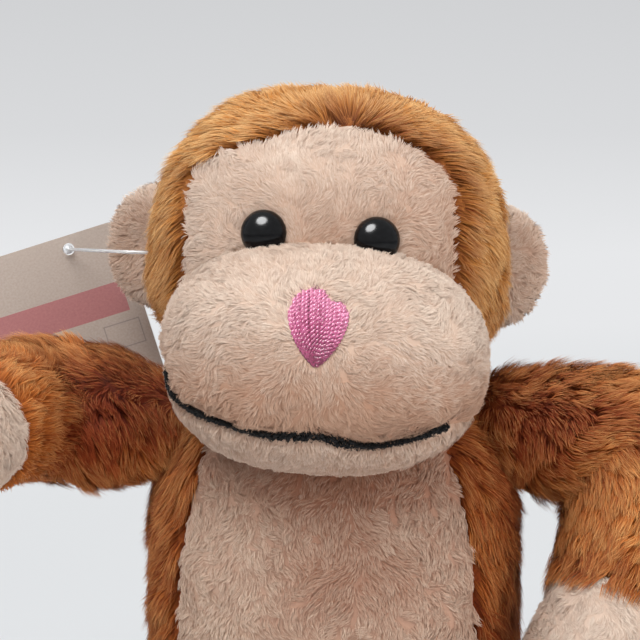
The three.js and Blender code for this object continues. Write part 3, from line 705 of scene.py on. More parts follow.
FACE_OUTLINE = spline(
    [(FACE_SHIFT + s * FACE_HALF_WIDTH, FACE_LOW + r * (FACE_TOP - FACE_LOW))
     for s, r in zip(FACE_SPAN_SHARES, FACE_RISE_SHARES)], 60)
MOUTH_LINE = spline(
    [(MUZZLE.at[0] + s * MUZZLE.half_width, MUZZLE.at[2] + r * MUZZLE.up)
     for s, r in zip(MOUTH_SPAN_SHARES, MOUTH_RISE_SHARES)], 90)
MOUTH_ENDS = MUZZLE.at[0] + np.array(MOUTH_REACH)
CROWN = np.array([HEAD.at[0] + 3, -25, 61])


def on_face(p):
    return (p[:, 1] < 0) & inside(FACE_OUTLINE, p[:, 0], p[:, 2])


def outline_distance(p):
    """How far points are from the face's outline, as seen from the front."""
    return np.min([np.hypot(p[:, 0] - x, p[:, 2] - z) for x, z in FACE_OUTLINE], axis=0)


def mouth_rise(p):
    """How far points are above the mouth line."""
    return p[:, 2] - np.interp(p[:, 0], *MOUTH_LINE.T)


def past_mouth(p):
    """How far points are past either end of the stitched line."""
    return np.abs(p[:, 0] - np.mean(MOUTH_ENDS)) - np.ptp(MOUTH_ENDS) / 2


def eye_place(side):
    point = HEAD.front_at(np.array([FACE_SHIFT + side * EYE_SPREAD]), np.array([EYE_RISE]))
    return point[0], HEAD.facing(point)[0]


EYES = {name: eye_place(side) for name, side in SIDES}


def make_head():
    head = egg_skin(HEAD, 44)
    dent = 0.8 * fade(head.points[:, 0] - HEAD.at[0], 1.6) * (head.points[:, 2] > 20)
    for point, _ in EYES.values():
        dent = dent + 1.6 * near(head.points, point, 7.5)
    head = head.dented(dent)
    head = head.cut(~MUZZLE.holds(head.points, -0.5))
    open_roots = lambda p: ~MUZZLE.holds(p, 0.3)

    def by_seam(p):
        left = 0.35 + 0.65 * smooth(-14, 12, p[:, 0])
        return left * fade(outline_distance(p), 3.2) * (p[:, 1] < 0)

    def crown_lean(p):
        return 1 - 0.45 * near(p, CROWN, 7) - 0.25 * by_seam(p)

    def crown_tone_and_painted_light(p):
        """Painted light and shade: paler to the top, darker to the doll's left, away from the light. Also
        darker to the back, and along the face's seam where the roots show.
        """
        top, left, back = smooth(0, 62, p[:, 2]), smooth(-20, 30, p[:, 0]), smooth(10, 40, p[:, 1])
        return 0.06 + 0.2 * top - 0.08 * left - 0.05 * back - 0.4 * by_seam(p)

    shaggy = head.cut(~on_face(head.points))
    for name, side in SIDES:
        skin = shaggy.cut(side * (shaggy.points[:, 0] - HEAD.at[0]) > 0, side > 0)
        keep = lambda p, side=side: open_roots(p) & ~on_face(p) & (side * (p[:, 0] - HEAD.at[0]) > 0)
        dress("head_fur_" + name, BROWN, "head", "head_panel_" + name, skin, LONG, 11 + side, head_frame,
              flow=away_from(CROWN, (0, 0.35, -0.15)), keep=keep, tone=crown_tone_and_painted_light, lean=crown_lean)

    def keep(p):
        off_eyes = [np.linalg.norm(p - at, axis=1) > EYE_RADIUS - 0.8 for at, _ in EYES.values()]
        return open_roots(p) & on_face(p) & np.all(off_eyes, axis=0) & (outline_distance(p) > 0.8)

    def face_painted_light(p):
        """Painted light and shade: paler to the top, darker between the eyes where the brow shades them, and
        to the doll's left, away from the light.
        """
        bridge_shade = near(p[:, [0, 2]], (FACE_SHIFT, 34), (13, 9))
        return 0.14 + 0.1 * smooth(38, 56, p[:, 2]) - 0.34 * bridge_shade - 0.42 * smooth(0, 26, p[:, 0])

    dress("face_plush", PINK, "head", "face_panel", head.cut(on_face(head.points), True), SHORT, 21,
          head_frame, flow=away_from((FACE_SHIFT, -45, 26)), keep=keep, tone=face_painted_light)


# The line's width along its run, from the doll's right to its left
MOUTH_WIDTHS = [2.2, 0.6, 1.5, 1.3, 0.8, 0.7, 1.7, 2.2, 2.2, 1.8, 2.7, 1.2, 1.0, 0.8, 1.3, 2.1, 2.6]


def mouth_width(x):
    return np.interp(x, np.linspace(*MOUTH_ENDS, len(MOUTH_WIDTHS)), MOUTH_WIDTHS, 0, 0)


# The stitched nose's upper edge, from its right to its left: two lobes and a notch
NOSE_CREST_SHARES = [-1, -0.88, -0.66, -0.35, 0, 0.2, 0.33, 0.45, 0.7, 0.9, 1]
NOSE_CREST_DROPS = [4.0, 2.2, 0.8, 0.1, 0, 0.6, 1.9, 2.4, 2.1, 2.8, 4.4]
NOSE_MIDDLE, NOSE_LOW = FACE_SHIFT + NOSE_SHIFT, NOSE_TOP - NOSE_HEIGHT
NOSE_STITCHED = NOSE_HALF_WIDTH * 0.96  # half the width at the threads' middles


def nose_half_width(z):
    """Half the nose's width, opening out from its point."""
    share = np.clip((z - NOSE_LOW) / (NOSE_HEIGHT - 4), 0, 1)
    return NOSE_STITCHED * np.sin(share * math.pi / 2) ** 0.85


def nose_crest(share):
    return NOSE_TOP - np.interp(share, NOSE_CREST_SHARES, NOSE_CREST_DROPS)


def nose_outline():
    z = np.linspace(NOSE_LOW, NOSE_TOP - NOSE_CREST_DROPS[-1], 14)
    share = np.linspace(1, -1, 24)
    rise = np.stack([nose_half_width(z), z], 1)
    crest = np.stack([share * NOSE_STITCHED, nose_crest(share)], 1)
    return np.concatenate([rise, crest, rise[::-1] * (-1, 1)]) + (NOSE_MIDDLE, 0)


NOSE_OUTLINE = nose_outline()


def make_muzzle():
    muzzle = egg_skin(MUZZLE, 40)
    front = muzzle.points[:, 1] < MUZZLE.at[1] + 6
    bed = inside(NOSE_OUTLINE, muzzle.points[:, 0], muzzle.points[:, 2])
    groove = 1.2 * fade(mouth_rise(muzzle.points), 1.7) * smooth(4, -2, past_mouth(muzzle.points))
    cheek = 1.5 * near(muzzle.points, (-38, -28, 1), (9, 16, 12))
    muzzle = muzzle.dented((groove + 0.7 * bed) * front + cheek)
    muzzle = muzzle.cut(~HEAD.holds(muzzle.points, -0.6))
    nose = np.array([NOSE_MIDDLE, -60, NOSE_TOP - 8])
    upper = mouth_rise(muzzle.points) > 0

    def above(p):
        under_nose = inside(NOSE_OUTLINE, p[:, 0], p[:, 2]) & (p[:, 1] < MUZZLE.at[1])
        return (mouth_rise(p) > mouth_width(p[:, 0]) * 0.6) & ~HEAD.holds(p) & ~under_nose

    def below(p):
        return (mouth_rise(p) < -mouth_width(p[:, 0]) * 0.6) & ~HEAD.holds(p)

    def from_nose(p, normals):
        """Away from the nose, and up along the mouth."""
        by_mouth = (fade(mouth_rise(p), 3) * smooth(3, -1, past_mouth(p)))[:, None]
        away = unit(p - nose) + (0, 0.2, 0.1)
        return flat_on(away * (1 - by_mouth) + np.array([0, 0, 1.0]) * by_mouth, normals)

    # The muzzle's pile darkens towards its underside: painted shade where it faces down, with its roots
    # showing there too.
    dress("muzzle_plush", PINK, "head", "muzzle_upper", muzzle.cut(upper, True), SHORT, 31, head_frame,
          flow=from_nose, keep=above, tone=lambda p: 0.24 - 0.84 * smooth(20, -6, p[:, 2]))
    dress("lip_plush", PINK, "head", "muzzle_lower", muzzle.cut(~upper), LIP, 32, head_frame,
          flow=towards((0, 0.3, -1)), keep=below, tone=-0.03)


def across_path(path):
    """Two directions across a path, at each of its points."""
    ways = unit(np.gradient(path, axis=0))
    side = unit(np.cross(ways, (0.3, 0.9, 0.3)))
    return side, np.cross(ways, side)


def tube(path, radius, sides, twist=0.0, groove=0.0):
    """A closed round thread along a path, with the grooves of its two plies. radius may run along it."""
    side, over = across_path(path)
    turns = np.linspace(0, 2 * math.pi, sides, endpoint=False)
    run = run_along(path)
    grooved = 1 - groove * np.cos(turns - twist * run[:, None]) ** 2
    wide = (np.broadcast_to(radius, len(path))[:, None] * grooved)[..., None]
    about = np.cos(turns)[:, None] * side[:, None] + np.sin(turns)[:, None] * over[:, None]
    rings = (path[:, None] + wide * about).reshape(-1, 3)
    points = np.concatenate([path[:1], rings, path[-1:]])
    along = np.concatenate([[0], np.repeat(run / run[-1], sides), [1]])
    turned = np.concatenate([[0.5], np.tile(turns / (2 * math.pi), len(path)), [0.5]])
    faces = ring_faces(len(path), sides)
    uv = np.stack([0.02 + 0.9 * turned, 0.02 + 0.94 * along], 1)
    return points, faces, Skin(points, faces).normals, uv[faces]


def plies(path, radius, phase, pitch):
    """Two strands wound round a path."""
    side, over = across_path(path)
    turn = (phase + run_along(path) * 2 * math.pi / pitch)[:, None]
    offset = (np.cos(turn) * side + np.sin(turn) * over) * radius[:, None] * 0.9
    return [tube(path + offset, radius, 5), tube(path - offset, radius, 5)]


def nose_thread():
    """The nose's thread, glossy; paler near its top as painted light and deeper towards the point as painted
    shade, in lit and shaded copies mixed by fine noise.
    """
    material, tree, shader = new_material(
        "nose_thread", {"Roughness": 0.3, "Sheen Weight": 0.3, "Specular IOR Level": 0.6})
    _, _, along = uv_parts(tree)
    places = (0.02, 0.45, 0.9)
    painted_lit_side = ramp(tree, along, places, [(228, 148, 184), (200, 102, 146), (148, 48, 90)])
    # The darker copy is the thread's painted shade in its grooves; fine noise mixes it with the painted lit
    # side.
    groove = ramp(tree, along, places, [(190, 92, 132), (158, 58, 100), (108, 28, 60)])
    fibres = add_node(tree, "TexNoise", {"Vector": object_place(tree), "Scale": 1900}).outputs["Fac"]
    spread = add_node(tree, "MapRange", {"Value": fibres, "From Min": 0.4, "From Max": 0.6})
    tree.links.new(mixed(tree, spread.outputs["Result"], groove, painted_lit_side), shader.inputs["Base Color"])
    return material


def make_nose():
    """Satin stitch: threads of two plies that fan up from the point, side by side."""
    rng = np.random.default_rng(41)
    parts = []
    t = np.linspace(0, 1, 120)
    arch = np.clip(np.sin(math.pi * (0.03 + 0.9 * t)), 0, 1) ** 0.35
    for count, lift, reach in ((15, 1.3, 1.0), (14, 0.95, 0.96)):
        for share in np.linspace(-reach, reach, count):
            share = share + rng.normal(0, 0.012)
            far = min(abs(share), 1)
            top = nose_crest(share) + rng.uniform(-0.2, 0.2)
            z = top + (NOSE_LOW + rng.uniform(0.1, 0.6) - top) * t
            x = NOSE_MIDDLE + share * nose_half_width(z) + rng.normal(0, 0.1) * np.sin(math.pi * t)
            dome = 0.45 + 0.55 * math.sqrt(max(1 - 0.9 * far * far, 0))
            path = MUZZLE.over(x, z, lift * dome * arch + 0.25)
            parts += plies(path, 0.32 * (0.6 + 0.4 * arch), rng.uniform(0, 6), 1.9)
    t = np.linspace(0, 1, 6)
    for _ in range(160):
        share = rng.uniform(-1, 1)
        x = NOSE_MIDDLE + share * NOSE_HALF_WIDTH + rng.normal(0, 0.7) * t
        z = nose_crest(share) - 0.2 + rng.uniform(0.2, 1.1) * t
        parts.append(tube(MUZZLE.over(x, z, 0.5 + rng.uniform(0, 0.8) * t), 0.05, 3))
    settle(make_mesh("nose_threads", parts, head_frame), nose_thread(), "pink_thread", "head", "nose_stitch")


def make_mouth():
    """A thick uneven line of short crossing stitches, with loose fibres at its edges."""
    rng = np.random.default_rng(51)
    line = MOUTH_LINE[(MOUTH_LINE[:, 0] > MOUTH_ENDS[0]) & (MOUTH_LINE[:, 0] < MOUTH_ENDS[1])]
    run = run_along(line)
    t = np.linspace(0, 1, 9)
    bow = np.sin(math.pi * t)
    parts = []

    def stitch(start, length, radius, rise, drop, lift, sides=6):
        x, z = (np.interp(start + t * length, run, line[:, k]) for k in (0, 1))
        path = MUZZLE.over(x, z + rise + drop * (t - 0.5), lift * bow - 0.5)
        parts.append(tube(path, radius * (0.5 + 0.5 * bow), sides, 3, 0.2))

    for start in np.arange(0, run[-1] - 1.2, 0.2):
        wide = mouth_width(np.interp(start + 0.7, run, line[:, 0]))
        if rng.random() > 0.25 + wide * 0.55:
            continue
        room = max(wide / 2 - 0.25, 0)
        rise = rng.uniform(-room, room)
        lift = 1.0 + 0.5 * math.sqrt(max(1 - (rise / (room + 0.1)) ** 2, 0))
        slant = min(wide / 3, 0.6)
        thick = min(0.08 + 0.11 * wide, 0.24)
        stitch(start, rng.uniform(0.7, 1.5), thick, rise, rng.uniform(-slant, slant), lift)
    for _ in range(900):
        start = rng.uniform(0, run[-1] - 1.0)
        room = mouth_width(np.interp(start, run, line[:, 0])) / 2 + 0.3
        stitch(start, rng.uniform(0.3, 0.9), 0.05, rng.uniform(-room, room), rng.uniform(-0.9, 0.9), 1.4, 3)
    thread = grained(
        "mouth_thread", {"Roughness": 0.9, "Sheen Weight": 0.05, "Specular IOR Level": 0.05},
        {"Scale": 2200, "Detail": 3}, [(20, 20, 20), (44, 43, 43)], (0.35, 0.65),
        {"Strength": 0.3, "Distance": 0.0001})
    settle(make_mesh("mouth_threads", parts, head_frame), thread, "black_thread", "head", "mouth_stitch")


def lathe(profile, sides, at, facing):
    """A closed turned form. The profile runs from the axis, out and back to it, against the facing."""
    profile = np.array(profile, float)
    turns = np.linspace(0, 2 * math.pi, sides, endpoint=False)
    radii, heights = profile[1:-1, :1], np.repeat(profile[1:-1, 1:], sides, 1)
    rings = np.stack([radii * np.cos(turns), radii * np.sin(turns), heights], 2).reshape(-1, 3)
    points = np.concatenate([[[0, 0, profile[0, 1]]], rings, [[0, 0, profile[-1, 1]]]])
    uv = 0.5 + points[:, :2] / 40
    z = np.array(facing, float)
    x = unit(np.cross((0, 0, 1), z))
    points = points @ np.stack([x, np.cross(z, x), z]) + at
    faces = ring_faces(len(radii), sides)[:, ::-1]
    return points, faces, Skin(points, faces).normals, uv[faces]


def make_eyes():
    plastic = grained(
        "eye_plastic", {"Roughness": 0.17, "Specular IOR Level": 0.2}, {"Scale": 900},
        [(6, 6, 7), (16, 16, 18)], (0.4, 0.8))
    turns = np.linspace(0, math.pi / 2, 18)
    profile = [(EYE_RADIUS * math.sin(a), 0.5 + EYE_DOME * math.cos(a)) for a in turns]
    profile += [(EYE_RADIUS, 0.1), (EYE_RADIUS - 0.3, -0.2), (SHANK_RADIUS + 0.2, -0.2)]
    profile += [(SHANK_RADIUS, -0.4), (SHANK_RADIUS, -SHANK_LENGTH), (0, -SHANK_LENGTH)]
    for name, (point, facing) in EYES.items():
        made = make_mesh("eye_dome_" + name, [lathe(profile, 48, point - facing * 0.4, facing)], head_frame)
        settle(made, plastic, "eye_black", "head", "eye_" + name)


def make_ears():
    for name, side in SIDES:
        root = HEAD.at[0] + side * (HEAD.half_width - EAR_ROOT)
        ear = Egg((root, EAR_BACK, EAR_RISE), EAR_REACH + EAR_ROOT, EAR_HALF_THICK, EAR_HALF_THICK,
                  EAR_HALF_HEIGHT, EAR_HALF_HEIGHT, 2, 2.3)
        whole = egg_skin(ear, 24)
        middle = np.array([root + side * 9, EAR_BACK - 4, EAR_RISE])
        hollow = 2.6 * near(whole.points, middle, (6.5, 30, 9)) * (whole.normals[:, 1] < 0)
        whole = whole.dented(hollow)
        outside = ~HEAD.holds(whole.points, -0.5) & (side * (whole.points[:, 0] - root) > 0)
        flow = away_from((root - side * 6, EAR_BACK, EAR_RISE + 3))

        def tone(p):
            """Painted shade: darker in the hollow."""
            from_middle = np.linalg.norm((p - middle)[:, [0, 2]] / (9, 13), axis=1)
            return -0.12 + 0.4 * smooth(0.55, 1.1, from_middle)

        for half, sign in (("front", -1), ("back", 1)):
            skin = whole.cut(outside & (sign * (whole.points[:, 1] - EAR_BACK) > -0.4))
            keep = lambda p, sign=sign: ~HEAD.holds(p, 0.3) & (sign * (p[:, 1] - EAR_BACK) > -0.2)
            dress(f"ear_{half}_plush_{name}", PINK, "ear_" + name, f"ear_{half}_{name}", skin, EAR_SHORT,
                  61 + side + 5 * sign, head_frame, 0.5, flow=flow, keep=keep, tone=tone)


# Torso


BELLY_OUTLINE = np.concatenate([
    spline([(FRONT_SHIFT + side * w, h) for w, h in zip(BELLY_HALF_WIDTHS, BELLY_HEIGHTS)], 40)[::side]
    for _, side in SIDES])


def on_belly(p):
    return (p[:, 1] < BELLY_EDGE) & inside(BELLY_OUTLINE, p[:, 0], p[:, 2])


def on_seat(p):
    return (p[:, 2] < SEAT_TOP) & ((p[:, 0] / SEAT_HALF_WIDTH) ** 2 + (p[:, 1] / SEAT_HALF_DEPTH) ** 2 < 1)


def make_torso():
    torso = egg_skin(TORSO, 48).above_floor()
    belly, seat = on_belly(torso.points), on_seat(torso.points)

    def belly_light_and_shade(p):
        """Painted light and shade: darker in the middle and under the muzzle, where the muzzle shades it, and
        paler to the doll's right, towards the light.
        """
        middle = fade(p[:, 0] - 2, 17) * smooth(52, 74, p[:, 2])
        return 0.02 - 0.2 * middle - 0.3 * smooth(78, 92, p[:, 2]) + 0.26 * smooth(-6, -26, p[:, 0])

    dress("belly_plush", BELLY, "torso", "belly_panel", torso.cut(belly, True), BELLY_SHORT, 71,
          flow=towards((0, 0, -1)), keep=on_belly, tone=belly_light_and_shade)

    def side_painted_shade(p):
        """Painted shade: darker in the left armpit, and to the doll's left, away from the light, most of all
        low down.
        """
        armpit_shade = near(p, (42, -6, 92), (12, 20, 9))
        low = 0.12 * smooth(78, 58, p[:, 2])
        return -0.16 - (0.07 + low) * smooth(-10, 30, p[:, 0]) - 0.25 * armpit_shade

    sides = torso.cut(~belly & ~seat)
    for name, side in SIDES:
        skin = sides.cut(side * sides.points[:, 0] > 0, side > 0)
        keep = lambda p, side=side: ~on_belly(p) & ~on_seat(p) & (side * p[:, 0] > 0)

        def down_and_out(points, normals, side=side):
            """Down and outwards, and straight down over the seam in the middle of the back."""
            out = side * 0.4 * smooth(2, 18, side * points[:, 0]) - side * 0.06
            way = np.stack([out, np.full(len(out), 0.3), np.full(len(out), -1.0)], 1)
            return flat_on(way, normals)

        dress("side_fur_" + name, RUSSET, "torso", "back_panel_" + name, skin, SIDE_LONG, 72 + side,
              flow=down_and_out, keep=keep, tone=side_painted_shade)
    dress("seat_fur", RUSSET, "torso", "seat_panel", torso.cut(seat, True), SEAT_FLAT, 75,
          flow=towards((0, 1, 0)), keep=on_seat)


def make_neck():
    """A short ring of cloth round the neck, hidden under the head."""
    neck = Limb([(FRONT_SHIFT, 0, z) for z in (103, 110, 118)], (15, 14, 15), 3, (0, 1, 0))
    dress("neck_fur", RUSSET, "neck", "neck_stuffing", neck.skin(40, 10), NECK_SHORT, 81)


# Arms, legs and tail

# Each arm's side and up, and how far its upper arm, forearm and hand turn down and forward, in degrees
ARM_BENDS = {
    "left": (1, (0, 1, 0), ((9, 9), (99, 19.8), (115.2, 24.3))),
    "right": (-1, (0, 0, 1), ((-9.9, 10.8), (4, 71), (38, 68))),
}
# Where each arm's pile is deep and darkened, by roots that show and by painted shade, how far that reaches,
# and where the painted shade of its crease is
ARM_SHADES = {
    "left": ((52, -18, 103), (25, 18, 11), (46, -14, 95)),
    "right": ((-56, -21, 104), (17, 16, 11), (-70, -36, 100)),
}


def turned(length, down, forward, side):
    d, f = math.radians(down), math.radians(forward)
    return length * np.array([side * math.cos(d) * math.cos(f), -math.sin(f), -math.sin(d) * math.cos(f)])


def arm_limb(side, up, bends):
    joints = [SHOULDER * (side, 1, 1)]
    for length, (down, forward) in zip(ARM_LENGTHS, bends):
        joints.append(joints[-1] + turned(length, down, forward, side))
    return Limb([joints[0], (joints[0] + joints[1]) / 2, *joints[1:]], ARM_RADII, LIMB_TIP, up)


def make_arm(name):
    side = ARM_BENDS[name][0]
    limb = arm_limb(*ARM_BENDS[name])
    around, steps = ((52, 64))
    skin = limb.skin(around, steps)
    wrist_ring = Limb.ROOT_RINGS + steps * 3 // 4
    past_wrist = np.arange(len(skin.points)) > (wrist_ring + 1) * around
    shoulder, elbow, wrist = limb.points[0], limb.points[2], limb.points[3]
    upper_way, elbow_way, wrist_way = limb.along([0, 0.5, 0.75])
    cuff = elbow - elbow_way * ELBOW_CUFF
    on_upper = lambda p: (past(p, cuff, elbow_way) < 0) & (past(p, shoulder, upper_way) < UPPER_REACH)
    deep_at, deep_reach, crease_shade_at = ARM_SHADES[name]

    def tone(p):
        """Darker in the hollow, partly painted shade and partly deep pile's roots; painted shade in the
        crease; darker at the left cuff; painted light, paler on top and underneath; paler past the elbow.
        """
        crease_shade = near(p, crease_shade_at, (12, 12, 7.5))
        out = 0.55 + 0.45 * smooth(6, 28, past(p, shoulder, upper_way))
        rise = p[:, 2] - elbow[2]
        top = smooth(5, 14, rise) * (0.44 * out if side > 0 else 0.38)
        fore = smooth(*((-8, 12) if side > 0 else (8, 30)), past(p, elbow, wrist_way))
        under = smooth(-2, -12, rise) * (1 - fore)
        at_cuff = smooth(-13, -3, past(p, wrist, wrist_way)) * (side > 0)
        dark = 0.26 + 0.28 * near(p, deep_at, deep_reach) + 0.25 * crease_shade + 0.16 * at_cuff
        return np.maximum(top, 0.36 * fore) + 0.16 * under - dark

    def lean(p):
        return 1 - 0.45 * near(p, deep_at, deep_reach)

    def over_top(points, normals):
        """Down over the arm's front, and along it on its upper side."""
        share = smooth(0.25, 0.8, normals[:, 2:])
        return flat_on(upper_way * share + np.array([0.4, -0.15, -1]) * (1 - share), normals)

    def back_to_elbow(points, normals):
        share = smooth(2, 24, dot(points - elbow, wrist_way))
        return flat_on(unit(elbow - wrist) * share + over_top(points, normals) * (1 - share), normals)

    sleeve = skin.cut(on_upper(skin.points), True)
    sleeve = sleeve.cut(~TORSO.holds(sleeve.points, TUCK))
    keep = lambda p: on_upper(p) & ~TORSO.holds(p, ROOT_TUCK)
    upper = dress("upper_arm_fur_" + name, RUSSET, None, "upper_arm_sleeve_" + name, sleeve, ARM_LONG,
                  91 + side, flow=over_top, keep=keep, tone=tone, lean=lean)
    blend_over(upper, shoulder, upper_way)

    sleeve = skin.cut(~on_upper(skin.points) & ~past_wrist)
    fore = dress("forearm_fur_" + name, RUSSET, None, "forearm_sleeve_" + name, sleeve, ARM_LONG, 94 + side,
                 flow=back_to_elbow if side < 0 else None, keep=lambda p: ~on_upper(p), tone=tone, lean=lean)
    blend_over(fore, elbow, elbow_way)
    dress("hand_plush_" + name, PINK, "forearm_" + name, "hand_" + name, skin.cut(past_wrist, True), SHORT,
          97 + side, flow=over_end(wrist_way * side), tone=0.3)


def make_leg(name, side):
    ahead = np.array([side * math.sin(LEG_SPLAY), -math.cos(LEG_SPLAY), 0])
    runs, heights, radii = zip(*LEG_STATIONS)
    points = [(*(HIP * (side, 1, 1) + ahead * run)[:2], height) for run, height in zip(runs, heights)]
    limb = Limb(points, radii, LIMB_TIP, (0, 0, 1))
    skin = limb.skin(*((48, 56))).above_floor()
    ways = limb.along([0, 2 / 3])
    past_ankle = lambda p: past(p, limb.points[2], ways[1])
    end = past_ankle(skin.points) >= 0.1
    keep = lambda p: (past_ankle(p) < 0) & ~TORSO.holds(p, ROOT_TUCK) & (p[:, 2] > 0.3)
    sleeve = skin.cut(~end & ~TORSO.holds(skin.points, TUCK))
    made = dress("leg_fur_" + name, RUSSET, None, "leg_sleeve_" + name, sleeve, ARM_LONG, 101 + side,
                 keep=keep, tone=-0.1)
    blend_over(made, limb.points[0], ways[0])
    keep = lambda p: (past_ankle(p) > 0) & (p[:, 2] > 0.3)
    dress("foot_plush_" + name, PINK, "leg_" + name, "foot_" + name, skin.cut(end, True), SHORT, 104 + side,
          flow=over_end(ways[1]), keep=keep)


def make_tail():
    tail = Limb(TAIL_ROUTE, [TAIL_RADIUS] * len(TAIL_ROUTE), TAIL_RADIUS, (0, 0, 1))
    skin = tail.skin(*((32, 90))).above_floor()
    keep = lambda p: ~TORSO.holds(p, ROOT_TUCK) & (p[:, 2] > 0.3)
    sleeve = skin.cut(~TORSO.holds(skin.points, TUCK))
    made = dress("tail_fur", RUSSET, None, "tail", sleeve, TAIL_LONG, 111, keep=keep)
    blend_over(made, tail.points[0], np.array([0, 1.0, 0]))


# Hang tag and its pin


def tag_material():
    """Matt card with a plain band and an empty frame."""
    material, tree, shader = new_material("tag_card", {"Roughness": 0.55})

    def calc(kind, a, b):
        return add_node(tree, "Math", {0: a, 1: b}, operation=kind).outputs[0]

    def box(low_x, high_x, low_y, high_y):
        """1 inside a box of the card, 0 outside it."""
        spans = [calc("MULTIPLY", calc("GREATER_THAN", value, low), calc("LESS_THAN", value, high))
                 for value, low, high in ((x, low_x, high_x), (y, low_y, high_y))]
        return calc("MULTIPLY", *spans)

    uv, x, y = uv_parts(tree)
    band = box(0.09, 0.99, 0.49, 0.66)
    line = calc("SUBTRACT", box(0.06, 0.24, 0.3, 0.44), box(0.065, 0.235, 0.306, 0.434))
    grain = add_node(tree, "TexNoise", {"Vector": uv, "Scale": 90, "Detail": 4}).outputs["Fac"]
    # The card's colour is darkened to a warm grey: painted shade over a paler card.
    card, ink, grey = (ramp(tree, grain, (0.3, 0.7), colours) for colours in (
        [(171, 154, 142), (182, 167, 155)],
        [(162, 98, 98), (174, 110, 108)],
        [(140, 128, 122), (150, 138, 132)]))
    tree.links.new(mixed(tree, line, mixed(tree, band, card, ink), grey), shader.inputs["Base Color"])
    return material


def make_tag():
    """A bare card with round corners and a punched hole."""
    across = np.array([-math.cos(CARD_TILT), 0, -math.sin(CARD_TILT)])
    down = np.array([math.sin(CARD_TILT), 0, -math.cos(CARD_TILT)])
    size = np.array([CARD_WIDTH, CARD_HEIGHT])
    circle = lambda at, radius, turns: [at + radius * np.array([math.cos(a), math.sin(a)]) for a in turns]
    rim = []
    for k, corner in enumerate(((0, 0), (1, 0), (1, 1), (0, 1))):
        turns = math.pi + k * math.pi / 2 + np.linspace(0, math.pi / 2, 6)
        rim += circle(CARD_ROUND + np.array(corner) * (size - 2 * CARD_ROUND), CARD_ROUND, turns)
    hole = circle(HOLE_AT, HOLE_RADIUS, np.linspace(0, 2 * math.pi, 20, endpoint=False))
    card = bmesh.new()
    edges = []
    for ring in (rim, hole):
        verts = [card.verts.new((CARD_CORNER + across * x + down * y) * MM) for x, y in ring]
        edges += [card.edges.new(pair) for pair in zip(verts, verts[1:] + verts[:1])]
    bmesh.ops.triangle_fill(card, edges=edges, use_beauty=True, normal=(0, -1, 0))
    made = bmesh.ops.extrude_face_region(card, geom=list(card.faces))
    moved = [v for v in made["geom"] if isinstance(v, bmesh.types.BMVert)]
    bmesh.ops.translate(card, verts=moved, vec=(0, CARD_THICK * MM, 0))
    bmesh.ops.recalc_face_normals(card, faces=card.faces)
    layer = card.loops.layers.uv.new("OFBake")
    for face in card.faces:
        for loop in face.loops:
            p = np.array(loop.vert.co) / MM - CARD_CORNER
            loop[layer].uv = (0.02 + 0.96 * (p @ across) / CARD_WIDTH, 0.98 - 0.96 * (p @ down) / CARD_HEIGHT)
    mesh = bpy.data.meshes.new("tag_card")
    card.to_mesh(mesh)
    card.free()
    settle(add_object("tag_card", mesh), tag_material(), "tag_card", "tag", "hang_tag")


def make_pin():
    """A moulded nylon pin: a thread with a ball end, from the head through the card's hole."""
    middle = ((PIN_ANCHOR[0] + PIN_KNOB[0]) / 2 - 4, 2, PIN_ANCHOR[2])
    path = route([PIN_ANCHOR, PIN_ANCHOR + (-8, 0, 0.2), middle, PIN_KNOB], np.linspace(0, 1, 40))
    turns = np.linspace(0, math.pi, 16)
    ball = [(KNOB_RADIUS * math.sin(a), KNOB_RADIUS * math.cos(a)) for a in turns]
    made = make_mesh("pin_nylon", [tube(path, PIN_RADIUS, 10), lathe(ball, 20, PIN_KNOB, (0, -1, 0))])
    nylon = grained(
        "clear_nylon", {"Roughness": 0.22, "Transmission Weight": 0.55, "IOR": 1.5}, {"Scale": 700},
        [(228, 230, 232), (246, 247, 248)])
    settle(made, nylon, "nylon", "tag", "tag_pin")


# Pieces kept from the frame


def finish_inner_pieces():
    wadding = grained(
        "wadding", {"Roughness": 0.95, "Sheen Weight": 0.4, "Specular IOR Level": 0.1},
        {"Scale": 300, "Detail": 8, "Distortion": 2}, [(214, 212, 206), (246, 245, 241)],
        bump={"Distance": 0.001})
    plastic = grained(
        "washer_plastic", {"Roughness": 0.45}, {"Scale": 220}, [(206, 206, 198), (222, 222, 214)])
    for name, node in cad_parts.items():
        kept = wadding if "stuffing" in name else plastic if "washer" in name else None
        if kept:
            node.data.materials.clear()
            node.data.materials.append(kept)


# Stage and light

STAGE_HALF, STAGE_BACK, STAGE_BEND, STAGE_TOP = 4000, 900, 500, 2500
# The stage's colours by height: paler near the floor and darker up the backdrop, a painted falloff of light
STAGE_PLACES = (0, 0.08, 0.22, 0.5, 0.8, 1)
STAGE_COLOURS = [(226, 228, 230), (231, 232, 234), (231, 232, 234), (217, 218, 220), (210, 211, 213),
                 (206, 207, 209)]


